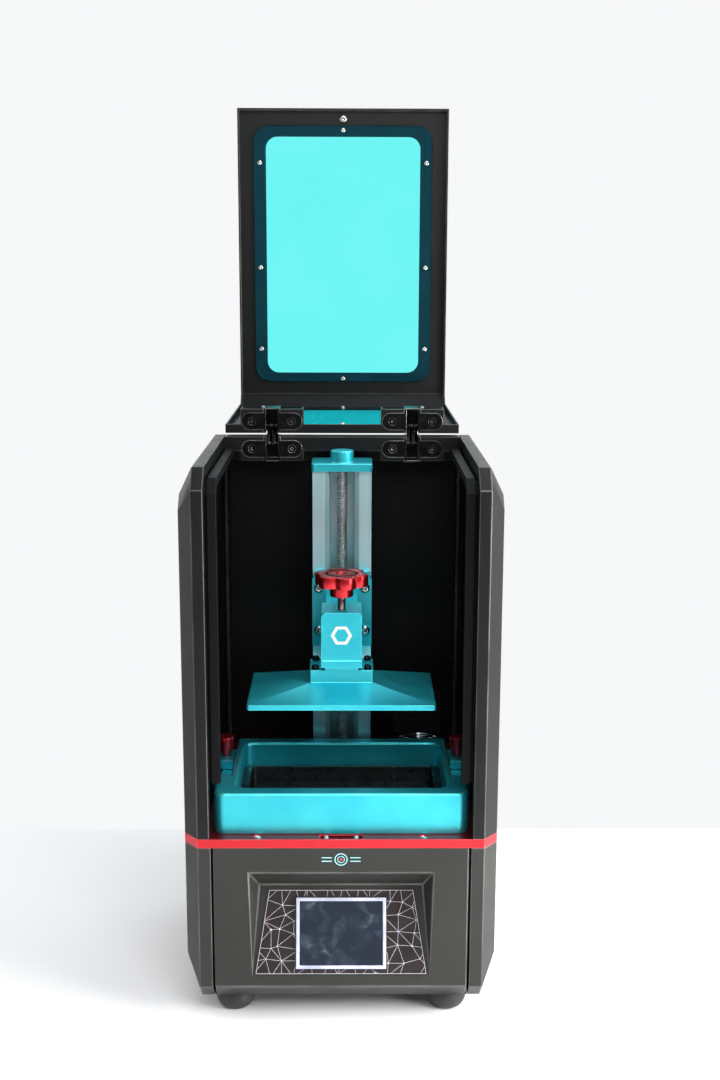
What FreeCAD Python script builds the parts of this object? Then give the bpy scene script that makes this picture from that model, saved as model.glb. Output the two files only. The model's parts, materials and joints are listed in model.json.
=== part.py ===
"""Desktop resin printer with a lift-over lid, a single Z column and a removable vat.

Millimetres, +Z up. The origin is on the table, straight below the lid's hinge axis. The front
faces -Y. The lid is drawn closed and then turned half a turn about its axis, so that it is stored
open, with its front panel standing behind the body.
"""
import FreeCAD, Part
import math
import os

Vector = FreeCAD.Vector

# ---------------------------------------------------------------- driving dimensions
BODY_WIDTH = 220.0
BODY_DEPTH = 200.0
BODY_TOP = 400.0
BASE_BOTTOM = 15.0          # underside of the base; the feet fill the space below
DECK_BOTTOM = 133.5
DECK_TOP = 140.0
FRONT = -172.0              # front face; the hinge axis is in the plane Y = 0
SHEET = 2.0                 # wall of covers and panels
SLOPE_TOP = 14.0            # legs of the 45 degree slopes at the front and rear top edges
SLOPE_BOTTOM = 13.0         # the same at the bottom edges
EDGE_SIDE = 9.8             # width that the bevel round each side face takes off
EDGE_DEPTH = 12.0           # how far that bevel reaches in from the front and rear
EDGE_TOP = 20.0             # and down from the top
EDGE_BOTTOM = 24.0          # and up from the bottom
SEAM = 0.3
PANEL_GAP = 1.5             # open joint on both sides of the lower front panel

OPENING_HALF = 92.0         # half width between the side covers
RETURN_DEPTH = 11.5         # fold of the side cover towards the chamber
LIP_INNER = 84.0            # door stop, from its inner edge to its outer edge
LIP_OUTER = 90.0
LIP_SET_BACK = 8.0
LIP_DEPTH = 6.0
LIP_FOOT = 178.0            # the door stop ends above the vat
LINING_SET_BACK = 12.0
LINING_HALF = 96.0
LINING = 1.5

HINGE_Z = 401.3
HINGE_X = 54.7
LEAF_GAP = 0.2              # leaf face to the plane of the axis
PIVOT_DEPTH = 5.5           # arm pivot behind its leaf's face
PIVOT_DROP = 7.0            # arm pivot below the axis
ARM_REACH = 1.45            # arm length over its pivot-to-cross-pin distance
ARM_HALF = 2.2
POCKET_HALF = 4.7
POCKET_DEPTH = 17.0
POCKET_BOTTOM = 381.4
CUP_HALF = 6.4              # half width of the pocket's cup behind the leaf
PIN_RADIUS = 1.2
FINGER = 2.0
FINGER_PITCH = 2.15
LEAF_HALF = 23.5
LEAF_HEIGHT = 13.0
LEAF_Z = 390.5
LEAF_SHEET = 2.0
LEAF_SCREW_X = 15.4
TAB_HALF = 24.5             # bracket that each leaf is let into
TAB_SHEET = 3.5
TAB_BOTTOM = 381.0
BEAM_SHEET = 2.0
BEAM_FOOT = 378.0

LID_HALF = 91.0
LID_BOTTOM = 140.3
LID_TOP = 399.8
LID_SHEET = 1.5
LID_FLANGE = 7.0
WINDOW_HALF = 67.0
WINDOW_MARGIN = 10.5        # window plate past its opening
WINDOW_SHEET = 2.5
WINDOW_LOW = 163.6
WINDOW_HIGH = 366.6
ROOF_FRONT = -146.0
ROOF_REAR = -31.0
LATCH_Z = 148.6
FRONT_SCREWS = [(x, z) for x in (-72.3, 72.3) for z in (185.6, 274.6, 345.6)]
FRONT_SCREWS += [(0.0, WINDOW_LOW - 5.4), (0.0, WINDOW_HIGH + 5.4)]
ROOF_SCREWS = [(x, y) for x in (-70.0, 0.0, 70.0) for y in (ROOF_FRONT - 5, ROOF_REAR + 5)]

COLUMN_FRONT = FRONT + 133.0
COLUMN_DEPTH = 28.0
COLUMN_WIDTH = 45.0
COLUMN_TOP = 378.8
CHANNEL_WIDTH = 19.0
CHANNEL_DEPTH = 24.0
CHANNEL_LEAD_IN = 3.4
RAIL_HALF = 3.5
BLOCK_HALF = 8.5
SCREW_Y = FRONT + 140.0
SCREW_RADIUS = 4.0
CARRIAGE_BOTTOM = 244.0
CARRIAGE_TOP = 303.2
CARRIAGE_HALF = 22.8
CARRIAGE_FRONT = FRONT + 126.5
CARRIAGE_PLATE = 6.0
CARRIAGE_SCREWS = [(x, z) for x in (-17.4, 17.4) for z in (256.6, 290.0)]

PLATFORM_Y = FRONT + 69.0   # centre of platform, vat and mask screen
PLATFORM_WIDTH = 134.0
PLATFORM_DEPTH = 80.0
PLATFORM_BOTTOM = 224.2
PLATFORM_RIM = 3.8
NECK_Y = FRONT + 67.0
NECK_WIDTH = 46.0
NECK_DEPTH = 31.0
NECK_BOTTOM = 238.0
NECK_TOP = 247.0
NECK_SCREWS = [(x, NECK_Y + y) for x in (-18.8, 18.8) for y in (-11.5, 11.5)]
BRACKET_HALF = 14.7
BRACKET_FRONT = FRONT + 47.0
BRACKET_TOP = 289.7
ARM_WIDTH = 23.6
ARM_BOTTOM = 272.0
ARM_TOP = 286.0
KNOB_Y = FRONT + 64.0
KNOB_RADIUS = 19.9
KNOB_LOW = 307.2
KNOB_HIGH = 315.7
COLLAR_LOW = 299.0

VAT_FRONT = FRONT + 9.4
VAT_REAR = FRONT + 125.4
VAT_HALF = 89.5
VAT_REAR_HALF = 80.0
VAT_TOP = 170.0
LEDGE_TOP = 161.0
LEDGE_START = FRONT + 46.0
VAT_INNER_HALF = 75.0
VAT_INNER_FRONT = FRONT + 22.0
VAT_INNER_REAR = FRONT + 114.0
FILM_FRAME_TOP = 152.0
FILM_BOTTOM = 141.0
CLAMP_Y = FRONT + 92.0
THUMB_X = 87.5

SCREEN_TILT = math.degrees(math.atan2(16.0, 62.0))
SCREEN_FOOT_Z = 37.5        # where the tilted screen plane meets the front face

FOOT_X = 77.0
FOOT_INSET = 28.0
FAN_X = 62.0
FAN_Y = FRONT + 167.0
SCREW_SINK = 1.3            # depth of the counterbores for flush screws
DECK_SCREWS = [(x, FRONT + y) for x in (-58.0, 58.0) for y in (5.0, 134.0)]
LAMP_TOP = 62.0
ROCKER_X = -32.5
ROCKER_Y = FRONT + 197.8     # rocker's pivot
ROCKER_HALF = 5.1
SWITCH_Z = 60.0
WELL_HALF = 6.2

REAR = FRONT + BODY_DEPTH
FAR = 500.0                 # larger than anything in the model, for cutting blocks


# ---------------------------------------------------------------- helpers
def box(x0, x1, y0, y1, z0, z1):
    return Part.makeBox(x1 - x0, y1 - y0, z1 - z0, Vector(x0, y0, z0))


def rod(radius, length, start, direction):
    return Part.makeCylinder(radius, length, Vector(*start), Vector(*direction))


def fuse(first, *others):
    """One solid from pieces that touch or overlap, with leftover seams removed."""
    return first.fuse(list(others)).removeSplitter()


def mirrored(shape):
    """The same shape on the other side of the middle plane."""
    return shape.mirror(Vector(0, 0, 0), Vector(1, 0, 0))


def prism(points, direction):
    """A solid from a closed outline of 3-D points, pushed along a direction."""
    corners = [Vector(*p) for p in points]
    face = Part.Face(Part.makePolygon(corners + corners[:1]))
    return face.extrude(Vector(*direction))


def polyhedron(points, faces):
    """A closed solid from corner points and faces given as lists of point numbers."""
    corners = [Vector(*p) for p in points]
    sides = []
    for face in faces:
        loop = [corners[i] for i in face]
        sides.append(Part.Face(Part.makePolygon(loop + loop[:1])))
    return Part.makeSolid(Part.makeShell(sides))


def rounded_box(x0, x1, y0, y1, z0, z1, radius):
    """A box with its four upright edges rounded."""
    block = box(x0, x1, y0, y1, z0, z1)
    upright = [e for e in block.Edges if abs(e.tangentAt(e.FirstParameter).z) > 0.99]
    return block.makeFillet(radius, upright)


def upright_rounded_box(x0, x1, y0, y1, z0, z1, radius):
    """A box with its four edges along Y rounded, as for a window in an upright panel."""
    block = box(x0, x1, y0, y1, z0, z1)
    level = [e for e in block.Edges if abs(e.tangentAt(e.FirstParameter).y) > 0.99]
    return block.makeFillet(radius, level)


def socket_screw(head_radius, head_height, shank_radius, shank_length, socket_across):
    """A socket-head screw whose head stands on Z = 0, with its shank below."""
    head = rod(head_radius, head_height, (0, 0, 0), (0, 0, 1))
    rim = [e for e in head.Edges if e.BoundBox.ZMin > head_height - 0.01 and e.Closed]
    head = head.makeFillet(0.2 * head_height, rim)
    corner = socket_across / math.sqrt(3)
    hexagon = [(corner * math.cos(math.radians(60 * i)), corner * math.sin(math.radians(60 * i)),
                0.45 * head_height) for i in range(6)]
    screw = fuse(head, rod(shank_radius, shank_length, (0, 0, -shank_length), (0, 0, 1)))
    return screw.cut(prism(hexagon, (0, 0, head_height)))


def facing_front(shape, x, y, z):
    """Turn a shape drawn along +Z to point at the front, and put it in place."""
    turned = shape.copy()
    turned.rotate(Vector(0, 0, 0), Vector(1, 0, 0), 90)
    turned.translate(Vector(x, y, z))
    return turned


def placed(shape, x, y, z):
    moved = shape.copy()
    moved.translate(Vector(x, y, z))
    return moved


def opened(shape):
    """Turn a piece of the closed lid half a turn about the hinge axis."""
    turned = shape.copy()
    turned.rotate(Vector(0, 0, HINGE_Z), Vector(1, 0, 0), 180)
    return turned


def group(shapes):
    return Part.makeCompound(shapes)


def save(name, shape):
    shape.exportStep(os.path.join("parts", name + ".step"))


# ---------------------------------------------------------------- outer form of the body
def bevel_legs(across, along, inset):
    """Legs of a bevel after its faces have moved inwards by the same distance."""
    scale = 1 + inset * (math.hypot(1 / across, 1 / along) - 1 / across - 1 / along)
    return across * scale, along * scale


def octagon(u0, u1, v0, v1, low_legs, high_legs):
    """Corners of a rectangle with bevelled ends; the legs are along u and v at low and high v."""
    lu, lv = low_legs
    hu, hv = high_legs
    return [(u0 + lu, v0), (u1 - lu, v0), (u1, v0 + lv), (u1, v1 - hv),
            (u1 - hu, v1), (u0 + hu, v1), (u0, v1 - hv), (u0, v0 + lv)]


def trimmed(shape, point, outward, inset):
    """Cut off what lies beyond a plane, after the plane has moved inwards by the inset."""
    direction = Vector(*outward).normalize()
    start = Vector(*point) - direction * inset
    return shape.cut(Part.makeCylinder(FAR, FAR, start, direction))


def side_profile(inset=0.0):
    """The body's outline seen from the side, pushed across its whole width."""
    x = BODY_WIDTH / 2 - inset
    top = bevel_legs(SLOPE_TOP, SLOPE_TOP, inset)
    bottom = bevel_legs(SLOPE_BOTTOM, SLOPE_BOTTOM, inset)
    outline = octagon(FRONT + inset, REAR - inset, BASE_BOTTOM + inset, BODY_TOP - inset, bottom, top)
    return prism([(-x, y, z) for y, z in outline], (2 * x, 0, 0))


def body_form(inset=0.0):
    """The outer block of the whole body, its side faces bevelled all round, or one inset in it."""
    form = side_profile(inset)
    edge = BODY_WIDTH / 2 - EDGE_SIDE
    corner_top = EDGE_TOP * math.sqrt(2)
    corner_bottom = EDGE_BOTTOM * math.sqrt(2)
    for side in (-1, 1):
        x = side * edge
        form = trimmed(form, (x, 0, BODY_TOP), (side * EDGE_TOP, 0, EDGE_SIDE), inset)
        form = trimmed(form, (x, 0, BASE_BOTTOM), (side * EDGE_BOTTOM, 0, -EDGE_SIDE), inset)
        for y, along in ((FRONT, -EDGE_SIDE), (REAR, EDGE_SIDE)):
            form = trimmed(form, (x, y, BODY_TOP / 2), (side * EDGE_DEPTH, along, 0), inset)
            form = trimmed(form, (x, y, BODY_TOP - SLOPE_TOP), (side * corner_top, along, EDGE_SIDE), inset)
            form = trimmed(form, (x, y, BASE_BOTTOM + SLOPE_BOTTOM),
                           (side * corner_bottom, along, -EDGE_SIDE), inset)
    return form


BODY = body_form()
BODY_INSIDE = body_form(SHEET)


# ---------------------------------------------------------------- base
def base_side_cover():
    """Hollow right-hand cheek of the base, closed below and open towards the middle."""
    block = BODY.common(box(LID_HALF, FAR, -FAR, FAR, 0, DECK_BOTTOM))
    hollow = BODY_INSIDE.common(box(0, FAR, -FAR, FAR, 0, DECK_BOTTOM))
    return block.cut(hollow)


def right_base_cover():
    """The right cheek, with the opening of the memory-stick socket."""
    return base_side_cover().cut(box(100, FAR, FRONT + 71.8, FRONT + 86.2, 43.8, 51.7))


def recess_wedge(half_top, half_bottom, top, bottom, depth, back_half, back_z):
    """Wedge that starts at the front face at its bottom edge and is deepest near its top."""
    points = [(-half_top, FRONT, top), (half_top, FRONT, top),
              (half_bottom, FRONT, bottom), (-half_bottom, FRONT, bottom),
              (-back_half, FRONT + depth, back_z), (back_half, FRONT + depth, back_z)]
    faces = [[0, 1, 2, 3], [0, 4, 5, 1], [3, 2, 5, 4], [0, 3, 4], [1, 5, 2]]
    return polyhedron(points, faces)


def front_panel():
    """Lower front panel with its wedge-shaped screen recess."""
    half = LID_HALF - PANEL_GAP
    reach = FRONT + SLOPE_BOTTOM
    block = BODY.common(box(-half, half, -FAR, reach, 0, DECK_BOTTOM))
    panel = block.cut(BODY_INSIDE)
    pocket = recess_wedge(66.8, 65.0, 117.0, 30.0, 18.3, 60.5, 101.5)
    recess = recess_wedge(64.6, 63.0, 114.8, SCREEN_FOOT_Z, 16.0, 58.5, 99.5)
    return fuse(panel, pocket).cut(recess)


def on_screen_plane(shape):
    """Lay a piece drawn upright at the front face onto the tilted back of the recess."""
    laid = shape.copy()
    laid.rotate(Vector(0, FRONT, SCREEN_FOOT_Z), Vector(1, 0, 0), -SCREEN_TILT)
    return laid


def screen_overlay():
    """Thin printed foil around the screen, a little narrower at its top."""
    low, high = SCREEN_FOOT_Z + 0.4, SCREEN_FOOT_Z + 60.0
    outline = [(-61.0, FRONT, low), (61.0, FRONT, low), (55.0, FRONT, high), (-55.0, FRONT, high)]
    foil = prism(outline, (0, -0.4, 0))
    return on_screen_plane(foil.cut(screen_block(64.4, 50.4, -1.0, 1.0)))


def screen_block(width, height, y0, y1):
    middle = SCREEN_FOOT_Z + 29.5
    return box(-width / 2, width / 2, FRONT + y0, FRONT + y1, middle - height / 2, middle + height / 2)


def screen_bezel():
    frame = screen_block(64.0, 50.0, -2.2, 0)
    return on_screen_plane(frame.cut(screen_block(59.2, 45.2, -5, 5)))


def touch_screen():
    return on_screen_plane(screen_block(59.0, 45.0, -1.5, 0))


def base_tray():
    """Floor of the base, with a vent slot row below the lamp's heat sink."""
    half = LID_HALF - SEAM
    floor = box(-half, half, FRONT + SLOPE_BOTTOM, REAR - SLOPE_BOTTOM, BASE_BOTTOM, BASE_BOTTOM + SHEET)
    for i in range(9):
        x = -40.0 + 10.0 * i
        floor = floor.cut(box(x - 2, x + 2, PLATFORM_Y - 25, PLATFORM_Y + 25, 0, 30))
    return floor


def rear_base_panel():
    """Lower rear panel with the cut-outs for power inlet, switch and vent slots."""
    half = LID_HALF - SEAM
    block = BODY.common(box(-half, half, REAR - SLOPE_BOTTOM, FAR, 0, DECK_BOTTOM))
    panel = block.cut(BODY_INSIDE)
    panel = panel.cut(rod(5.6, 20, (-60, REAR - 10, 60), (0, 1, 0)))
    panel = panel.cut(box(-42.1, -22.9, REAR - 10, REAR + 5, SWITCH_Z - 7.2, SWITCH_Z + 7.2))
    for i in range(8):
        z = 45.0 + 8.0 * i
        panel = panel.cut(box(10, 70, REAR - 10, REAR + 5, z - 1.5, z + 1.5))
    return panel


def deck_plate():
    """Red machined deck with the mask screen's stepped window and the screw's passage."""
    deck = BODY.common(box(-FAR, FAR, -FAR, FAR, DECK_BOTTOM, DECK_TOP))
    y0, y1 = PLATFORM_Y - 39.0, PLATFORM_Y + 39.0
    deck = deck.cut(box(-64, 64, y0, y1, DECK_TOP - 3.5, DECK_TOP + 1))
    deck = deck.cut(box(-58, 58, y0 + 6, y1 - 6, DECK_BOTTOM - 1, DECK_TOP))
    deck = deck.cut(rod(12, 20, (0, SCREW_Y, DECK_BOTTOM - 5), (0, 0, 1)))
    deck = deck.cut(rod(17, 20, (FAN_X, FAN_Y, DECK_BOTTOM - 5), (0, 0, 1)))
    deck = deck.cut(box(-15, 15, FRONT + 2.0, FRONT + 8.0, DECK_TOP - 2.5, DECK_TOP + 1))
    for x, y in DECK_SCREWS:
        deck = deck.cut(rod(1.6, 4, (x, y, DECK_TOP - 3), (0, 0, 1)))
        deck = deck.cut(rod(2.75, 3, (x, y, DECK_TOP - SCREW_SINK), (0, 0, 1)))
    return deck


def deck_screws():
    screw = socket_screw(2.6, 1.15, 1.5, 1.7, 2.0)
    return group([placed(screw, x, y, DECK_TOP - SCREW_SINK) for x, y in DECK_SCREWS])


def door_catch():
    """Sprung steel catch that lies in a notch at the deck's front edge."""
    leaf = box(-14.5, 14.5, FRONT + 2.4, FRONT + 7.6, DECK_TOP - 2.5, DECK_TOP - 1.7)
    for side in (-1, 1):
        bump = rod(1.7, 5.2, (side * 10.5, FRONT + 2.4, DECK_TOP - 1.8), (0, 1, 0))
        leaf = fuse(leaf, bump.common(box(-FAR, FAR, -FAR, FAR, DECK_TOP - 2.5, FAR)))
    return leaf


def mask_lcd():
    return box(-63.8, 63.8, PLATFORM_Y - 38.8, PLATFORM_Y + 38.8, DECK_TOP - 3.5, DECK_TOP)


def foot():
    """Domed rubber foot: narrow where it stands, widest just below the base."""
    outline = Part.Wire([
        Part.makeLine(Vector(0, 0, 0), Vector(8.5, 0, 0)),
        Part.Arc(Vector(8.5, 0, 0), Vector(12.6, 0, 3.6), Vector(14, 0, 9)).toShape(),
        Part.makeLine(Vector(14, 0, 9), Vector(12.5, 0, BASE_BOTTOM)),
        Part.makeLine(Vector(12.5, 0, BASE_BOTTOM), Vector(0, 0, BASE_BOTTOM)),
        Part.makeLine(Vector(0, 0, BASE_BOTTOM), Vector(0, 0, 0))])
    return Part.Face(outline).revolve(Vector(0, 0, 0), Vector(0, 0, 1), 360)


def feet():
    rows = (FRONT + FOOT_INSET, REAR - FOOT_INSET)
    return group([placed(foot(), x, y, 0) for x in (-FOOT_X, FOOT_X) for y in rows])


# ---------------------------------------------------------------- inside the base
def lamp_reflector():
    """Open tapering duct between the lamp board and the mask screen."""
    def duct(top_x, top_y, low_x, low_y):
        top = [(-top_x, -top_y), (top_x, -top_y), (top_x, top_y), (-top_x, top_y)]
        low = [(-low_x, -low_y), (low_x, -low_y), (low_x, low_y), (-low_x, low_y)]
        points = [(x, PLATFORM_Y + y, DECK_BOTTOM) for x, y in top]
        points += [(x, PLATFORM_Y + y, LAMP_TOP) for x, y in low]
        sides = [[i, (i + 1) % 4, 4 + (i + 1) % 4, 4 + i] for i in range(4)]
        return polyhedron(points, [[0, 1, 2, 3], [4, 5, 6, 7]] + sides)
    return duct(60, 35, 42, 26).cut(duct(58, 33, 40, 24))


def lamp_board():
    """Lamp board with its grid of light-emitting diodes."""
    board = box(-44, 44, PLATFORM_Y - 28, PLATFORM_Y + 28, LAMP_TOP - 2, LAMP_TOP)
    lights = []
    for column in range(5):
        for row in range(3):
            x, y = -32 + 16 * column, PLATFORM_Y - 16 + 16 * row
            lights.append(box(x - 1.8, x + 1.8, y - 1.8, y + 1.8, LAMP_TOP - 0.5, LAMP_TOP + 1.6))
    return fuse(board, *lights)


def lamp_heat_sink():
    sink = box(-44, 44, PLATFORM_Y - 28, PLATFORM_Y + 28, LAMP_TOP - 24, LAMP_TOP - 2)
    for i in range(10):
        x = -38.5 + 8.0 * i
        sink = sink.cut(box(x, x + 5, -FAR, FAR, 0, LAMP_TOP - 6))
    return sink


def z_motor():
    """Stepper motor hung under the deck, with its square flange, body and shaft."""
    top = 93.0
    body = rounded_box(-21, 21, SCREW_Y - 21, SCREW_Y + 21, top - 40, top, 4)
    boss = rod(11, 2, (0, SCREW_Y, top), (0, 0, 1))
    feet_plates = fuse(box(-21, -18, SCREW_Y - 21, SCREW_Y - 12, top, DECK_BOTTOM),
                       box(-21, -18, SCREW_Y + 12, SCREW_Y + 21, top, DECK_BOTTOM),
                       box(-21, -18, SCREW_Y - 21, SCREW_Y + 21, top, top + 4))
    return fuse(body, boss, feet_plates, mirrored(feet_plates))


def mainboard():
    """Controller board on four posts, with its chips and connectors."""
    x0, x1, y0, y1 = 50.0, 86.0, FRONT + 40.0, FRONT + 150.0
    board = box(x0, x1, y0, y1, 30.0, 31.6)
    posts = [rod(3, 30 - BASE_BOTTOM - SHEET, (x, y, BASE_BOTTOM + SHEET), (0, 0, 1))
             for x in (x0 + 4, x1 - 4) for y in (y0 + 4, y1 - 4)]
    chips = [box(60, 74, FRONT + y, FRONT + y + 14, 31, 33.6) for y in (56, 96)]
    sockets = [box(52, 58, FRONT + y, FRONT + y + 16, 31, 38) for y in (50, 76, 102, 126)]
    return fuse(board, *posts, *chips, *sockets)


def ports():
    """Memory-stick socket on the right side, and round power inlet at the rear."""
    usb = box(86.2, 110.2, FRONT + 72, FRONT + 86, 44, 51.5)
    usb = usb.cut(box(95, 111, FRONT + 73, FRONT + 85, 45, 50.5))
    jack = rod(5.5, 16, (-60, REAR - 14, 60), (0, 1, 0))
    jack = fuse(jack, rod(7.5, 1.6, (-60, REAR, 60), (0, 1, 0)))
    jack = jack.cut(rod(3.4, 20, (-60, REAR - 8, 60), (0, 1, 0)))
    jack = fuse(jack, rod(1.0, 9, (-60, REAR - 8.5, 60), (0, 1, 0)))
    return group([usb, jack])


def power_rocker():
    """Rocker of the power switch, pressed in at its lower end, with its two pivot pins."""
    low, high = SWITCH_Z - ROCKER_HALF, SWITCH_Z + ROCKER_HALF
    outline = [(ROCKER_X - 7, REAR - 4.5, low), (ROCKER_X - 7, REAR + 0.6, low),
               (ROCKER_X - 7, REAR + 1.4, SWITCH_Z), (ROCKER_X - 7, REAR + 2.8, high),
               (ROCKER_X - 7, REAR - 4.5, high)]
    pins = rod(1.2, 17.2, (ROCKER_X - 8.6, ROCKER_Y, SWITCH_Z), (1, 0, 0))
    return prism(outline, (14, 0, 0)).fuse(pins)


def switch_housing():
    wall = WELL_HALF + 0.8
    frame = box(ROCKER_X - 9.4, ROCKER_X + 9.4, REAR - 14, REAR, SWITCH_Z - wall, SWITCH_Z + wall)
    flange = box(ROCKER_X - 11, ROCKER_X + 11, REAR, REAR + 1.2, SWITCH_Z - 8.5, SWITCH_Z + 8.5)
    well = box(ROCKER_X - 7.6, ROCKER_X + 7.6, REAR - 8, REAR + 5,
               SWITCH_Z - WELL_HALF, SWITCH_Z + WELL_HALF)
    bore = rod(1.25, 17.4, (ROCKER_X - 8.7, ROCKER_Y, SWITCH_Z), (1, 0, 0))
    return fuse(frame, flange).cut(well).cut(bore)


# ---------------------------------------------------------------- upper body
def side_cover():
    """Hollow right-hand wall of the upper body, with a narrow return towards the middle."""
    block = BODY.common(box(OPENING_HALF, FAR, -FAR, FAR, DECK_TOP, FAR))
    hollow = BODY_INSIDE.common(box(OPENING_HALF + SHEET, FAR, -FAR, FAR, DECK_TOP - 1, FAR))
    inner = side_profile(RETURN_DEPTH).common(box(0, OPENING_HALF + 5, -FAR, FAR, DECK_TOP - 1, FAR))
    return block.cut(hollow).cut(inner)


def lining_form(inset):
    """Side profile of the chamber lining, set back behind the lid's flange."""
    top = bevel_legs(SLOPE_TOP, SLOPE_TOP, inset)
    y0, z1 = FRONT + inset, BODY_TOP - inset
    outline = [(0, y0, DECK_TOP), (0, REAR - SHEET, DECK_TOP), (0, REAR - SHEET, z1),
               (0, y0 + top[0], z1), (0, y0, z1 - top[1])]
    return prism(outline, (FAR, 0, 0))


def lining():
    """Right-hand chamber lining: an upright sheet with a flange and the door stop along its edge."""
    form = lining_form(LINING_SET_BACK)
    inside = lining_form(LINING_SET_BACK + LINING)
    outer = LINING_HALF + LINING
    sheet = form.common(box(LINING_HALF, outer, -FAR, REAR - SLOPE_TOP - SHEET, DECK_TOP, FAR))
    flange = form.cut(inside).common(box(LIP_INNER, outer, -FAR, -SEAM, LIP_FOOT, FAR))
    lip = lining_form(LIP_SET_BACK).cut(lining_form(LIP_SET_BACK + LIP_DEPTH))
    lip = lip.common(box(LIP_INNER, LIP_OUTER, -FAR, -SEAM, LIP_FOOT, FAR))
    return fuse(sheet, flange, lip)


def rear_cover():
    """Rear wall of the chamber with the filter fan's outlet slots."""
    half = OPENING_HALF - SEAM
    wall = box(-half, half, REAR - SHEET, REAR, DECK_TOP, BEAM_FOOT)
    for i in range(6):
        z = DECK_TOP + 12 + 6.0 * i
        wall = wall.cut(box(FAN_X - 18, FAN_X + 18, REAR - 10, REAR + 10, z - 1.2, z + 1.2))
    return wall


def leaf_outline(y0, y1, grow=0.0):
    """Slot-shaped block of one hinge leaf, centred on X = 0."""
    radius = LEAF_HEIGHT / 2 + grow
    centre = LEAF_HALF - LEAF_HEIGHT / 2
    middle = box(-centre, centre, y0, y1, LEAF_Z - radius, LEAF_Z + radius)
    ends = [rod(radius, y1 - y0, (x, y0, LEAF_Z), (0, 1, 0)) for x in (-centre, centre)]
    return fuse(middle, *ends)


def hinge_tab():
    """Bracket on the beam that holds one hinge leaf, centred on X = 0."""
    front = LEAF_GAP
    tab = box(-TAB_HALF, TAB_HALF, front, front + TAB_SHEET, TAB_BOTTOM, BODY_TOP - BEAM_SHEET)
    cheeks = [box(x, x + LINING, front, front + POCKET_DEPTH, TAB_BOTTOM, BODY_TOP - BEAM_SHEET)
              for x in (-TAB_HALF, TAB_HALF - LINING)]
    tab = fuse(tab, *cheeks)
    tab = tab.cut(leaf_outline(front - 1, front + LEAF_SHEET, 0.05))
    return tab.cut(box(-CUP_HALF, CUP_HALF, -5, 10, TAB_BOTTOM - 1, BODY_TOP))


def rear_beam():
    """Top cross beam behind the opening, with a bracket and a notch for each hinge."""
    half = OPENING_HALF - SEAM
    front = LEAF_GAP
    inner = BODY_TOP - BEAM_SHEET
    drop = BEAM_SHEET * math.tan(math.radians(22.5))
    face = box(-half, half, front, front + BEAM_SHEET, 389.0, BODY_TOP)
    top = box(-half, half, front, REAR - SLOPE_TOP, inner, BODY_TOP)
    outline = [(-half, REAR - SLOPE_TOP, BODY_TOP), (-half, REAR, BODY_TOP - SLOPE_TOP),
               (-half, REAR, BEAM_FOOT), (-half, REAR - BEAM_SHEET, BEAM_FOOT),
               (-half, REAR - BEAM_SHEET, BODY_TOP - SLOPE_TOP - drop),
               (-half, REAR - SLOPE_TOP - drop, inner), (-half, REAR - SLOPE_TOP - drop, BODY_TOP)]
    back = prism(outline, (2 * half, 0, 0))
    beam = fuse(face, top, back)
    for x in (-HINGE_X, HINGE_X):
        beam = beam.cut(placed(leaf_outline(front - 1, front + LEAF_SHEET, 0.05), x, 0, 0))
        beam = fuse(beam, placed(hinge_tab(), x, 0, 0))
        beam = beam.cut(box(x - CUP_HALF, x + CUP_HALF, -5, front + POCKET_DEPTH + 1.8, 370, FAR))
    return beam


def fixed_leaf():
    """Hinge leaf on the body: slot-shaped face plate with the pocket that swallows the arms."""
    front = LEAF_GAP
    plate = leaf_outline(front, front + LEAF_SHEET)
    cup = box(-CUP_HALF + 0.05, CUP_HALF - 0.05, front, front + POCKET_DEPTH + 1.5,
              POCKET_BOTTOM - 1.0, BODY_TOP - 0.2)
    pocket = box(-POCKET_HALF, POCKET_HALF, front - 1, front + POCKET_DEPTH, POCKET_BOTTOM, FAR)
    leaf = fuse(plate, cup).cut(pocket)
    for x in (-LEAF_SCREW_X, LEAF_SCREW_X):
        leaf = leaf.cut(rod(1.7, 10, (x, front, LEAF_Z), (0, 1, 0)))
        leaf = leaf.cut(rod(3.0, SCREW_SINK, (x, front, LEAF_Z), (0, 1, 0)))
    bore = rod(PIN_RADIUS + 0.03, 20, (-10, PIVOT_DEPTH, HINGE_Z - PIVOT_DROP), (1, 0, 0))
    return leaf.cut(bore)


def swing_arm(first_finger):
    """Two-fingered hinge arm with its pivot pin, drawn for the closed lid."""
    pivot = Vector(0, PIVOT_DEPTH, HINGE_Z - PIVOT_DROP)
    tip = pivot + Vector(0, -PIVOT_DEPTH, -PIVOT_DROP) * ARM_REACH
    along = (tip - pivot).normalize()
    across = Vector(0, -along.z, along.y) * ARM_HALF
    pieces = []
    for i in (0, 2):
        x = (first_finger + i - 1.5) * FINGER_PITCH - FINGER / 2
        corners = [pivot + across, tip + across, tip - across, pivot - across]
        bar = prism([(x, c.y, c.z) for c in corners], (FINGER, 0, 0))
        pieces.append(bar)
        for end in (pivot, tip):
            pieces.append(rod(ARM_HALF, FINGER, (x, end.y, end.z), (1, 0, 0)))
    length = 2 * CUP_HALF - 0.4
    pieces.append(rod(PIN_RADIUS, length, (-length / 2, pivot.y, pivot.z), (1, 0, 0)))
    return fuse(*pieces)


def cross_pin_bore():
    """Clearance hole through the fingers for the pin that joins both arms."""
    return rod(PIN_RADIUS + 0.03, 20, (-10, 0, HINGE_Z - 2 * PIVOT_DROP), (1, 0, 0))


def pivot_bore():
    return rod(PIN_RADIUS + 0.05, 20, (-10, PIVOT_DEPTH, HINGE_Z - PIVOT_DROP), (1, 0, 0))


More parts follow.
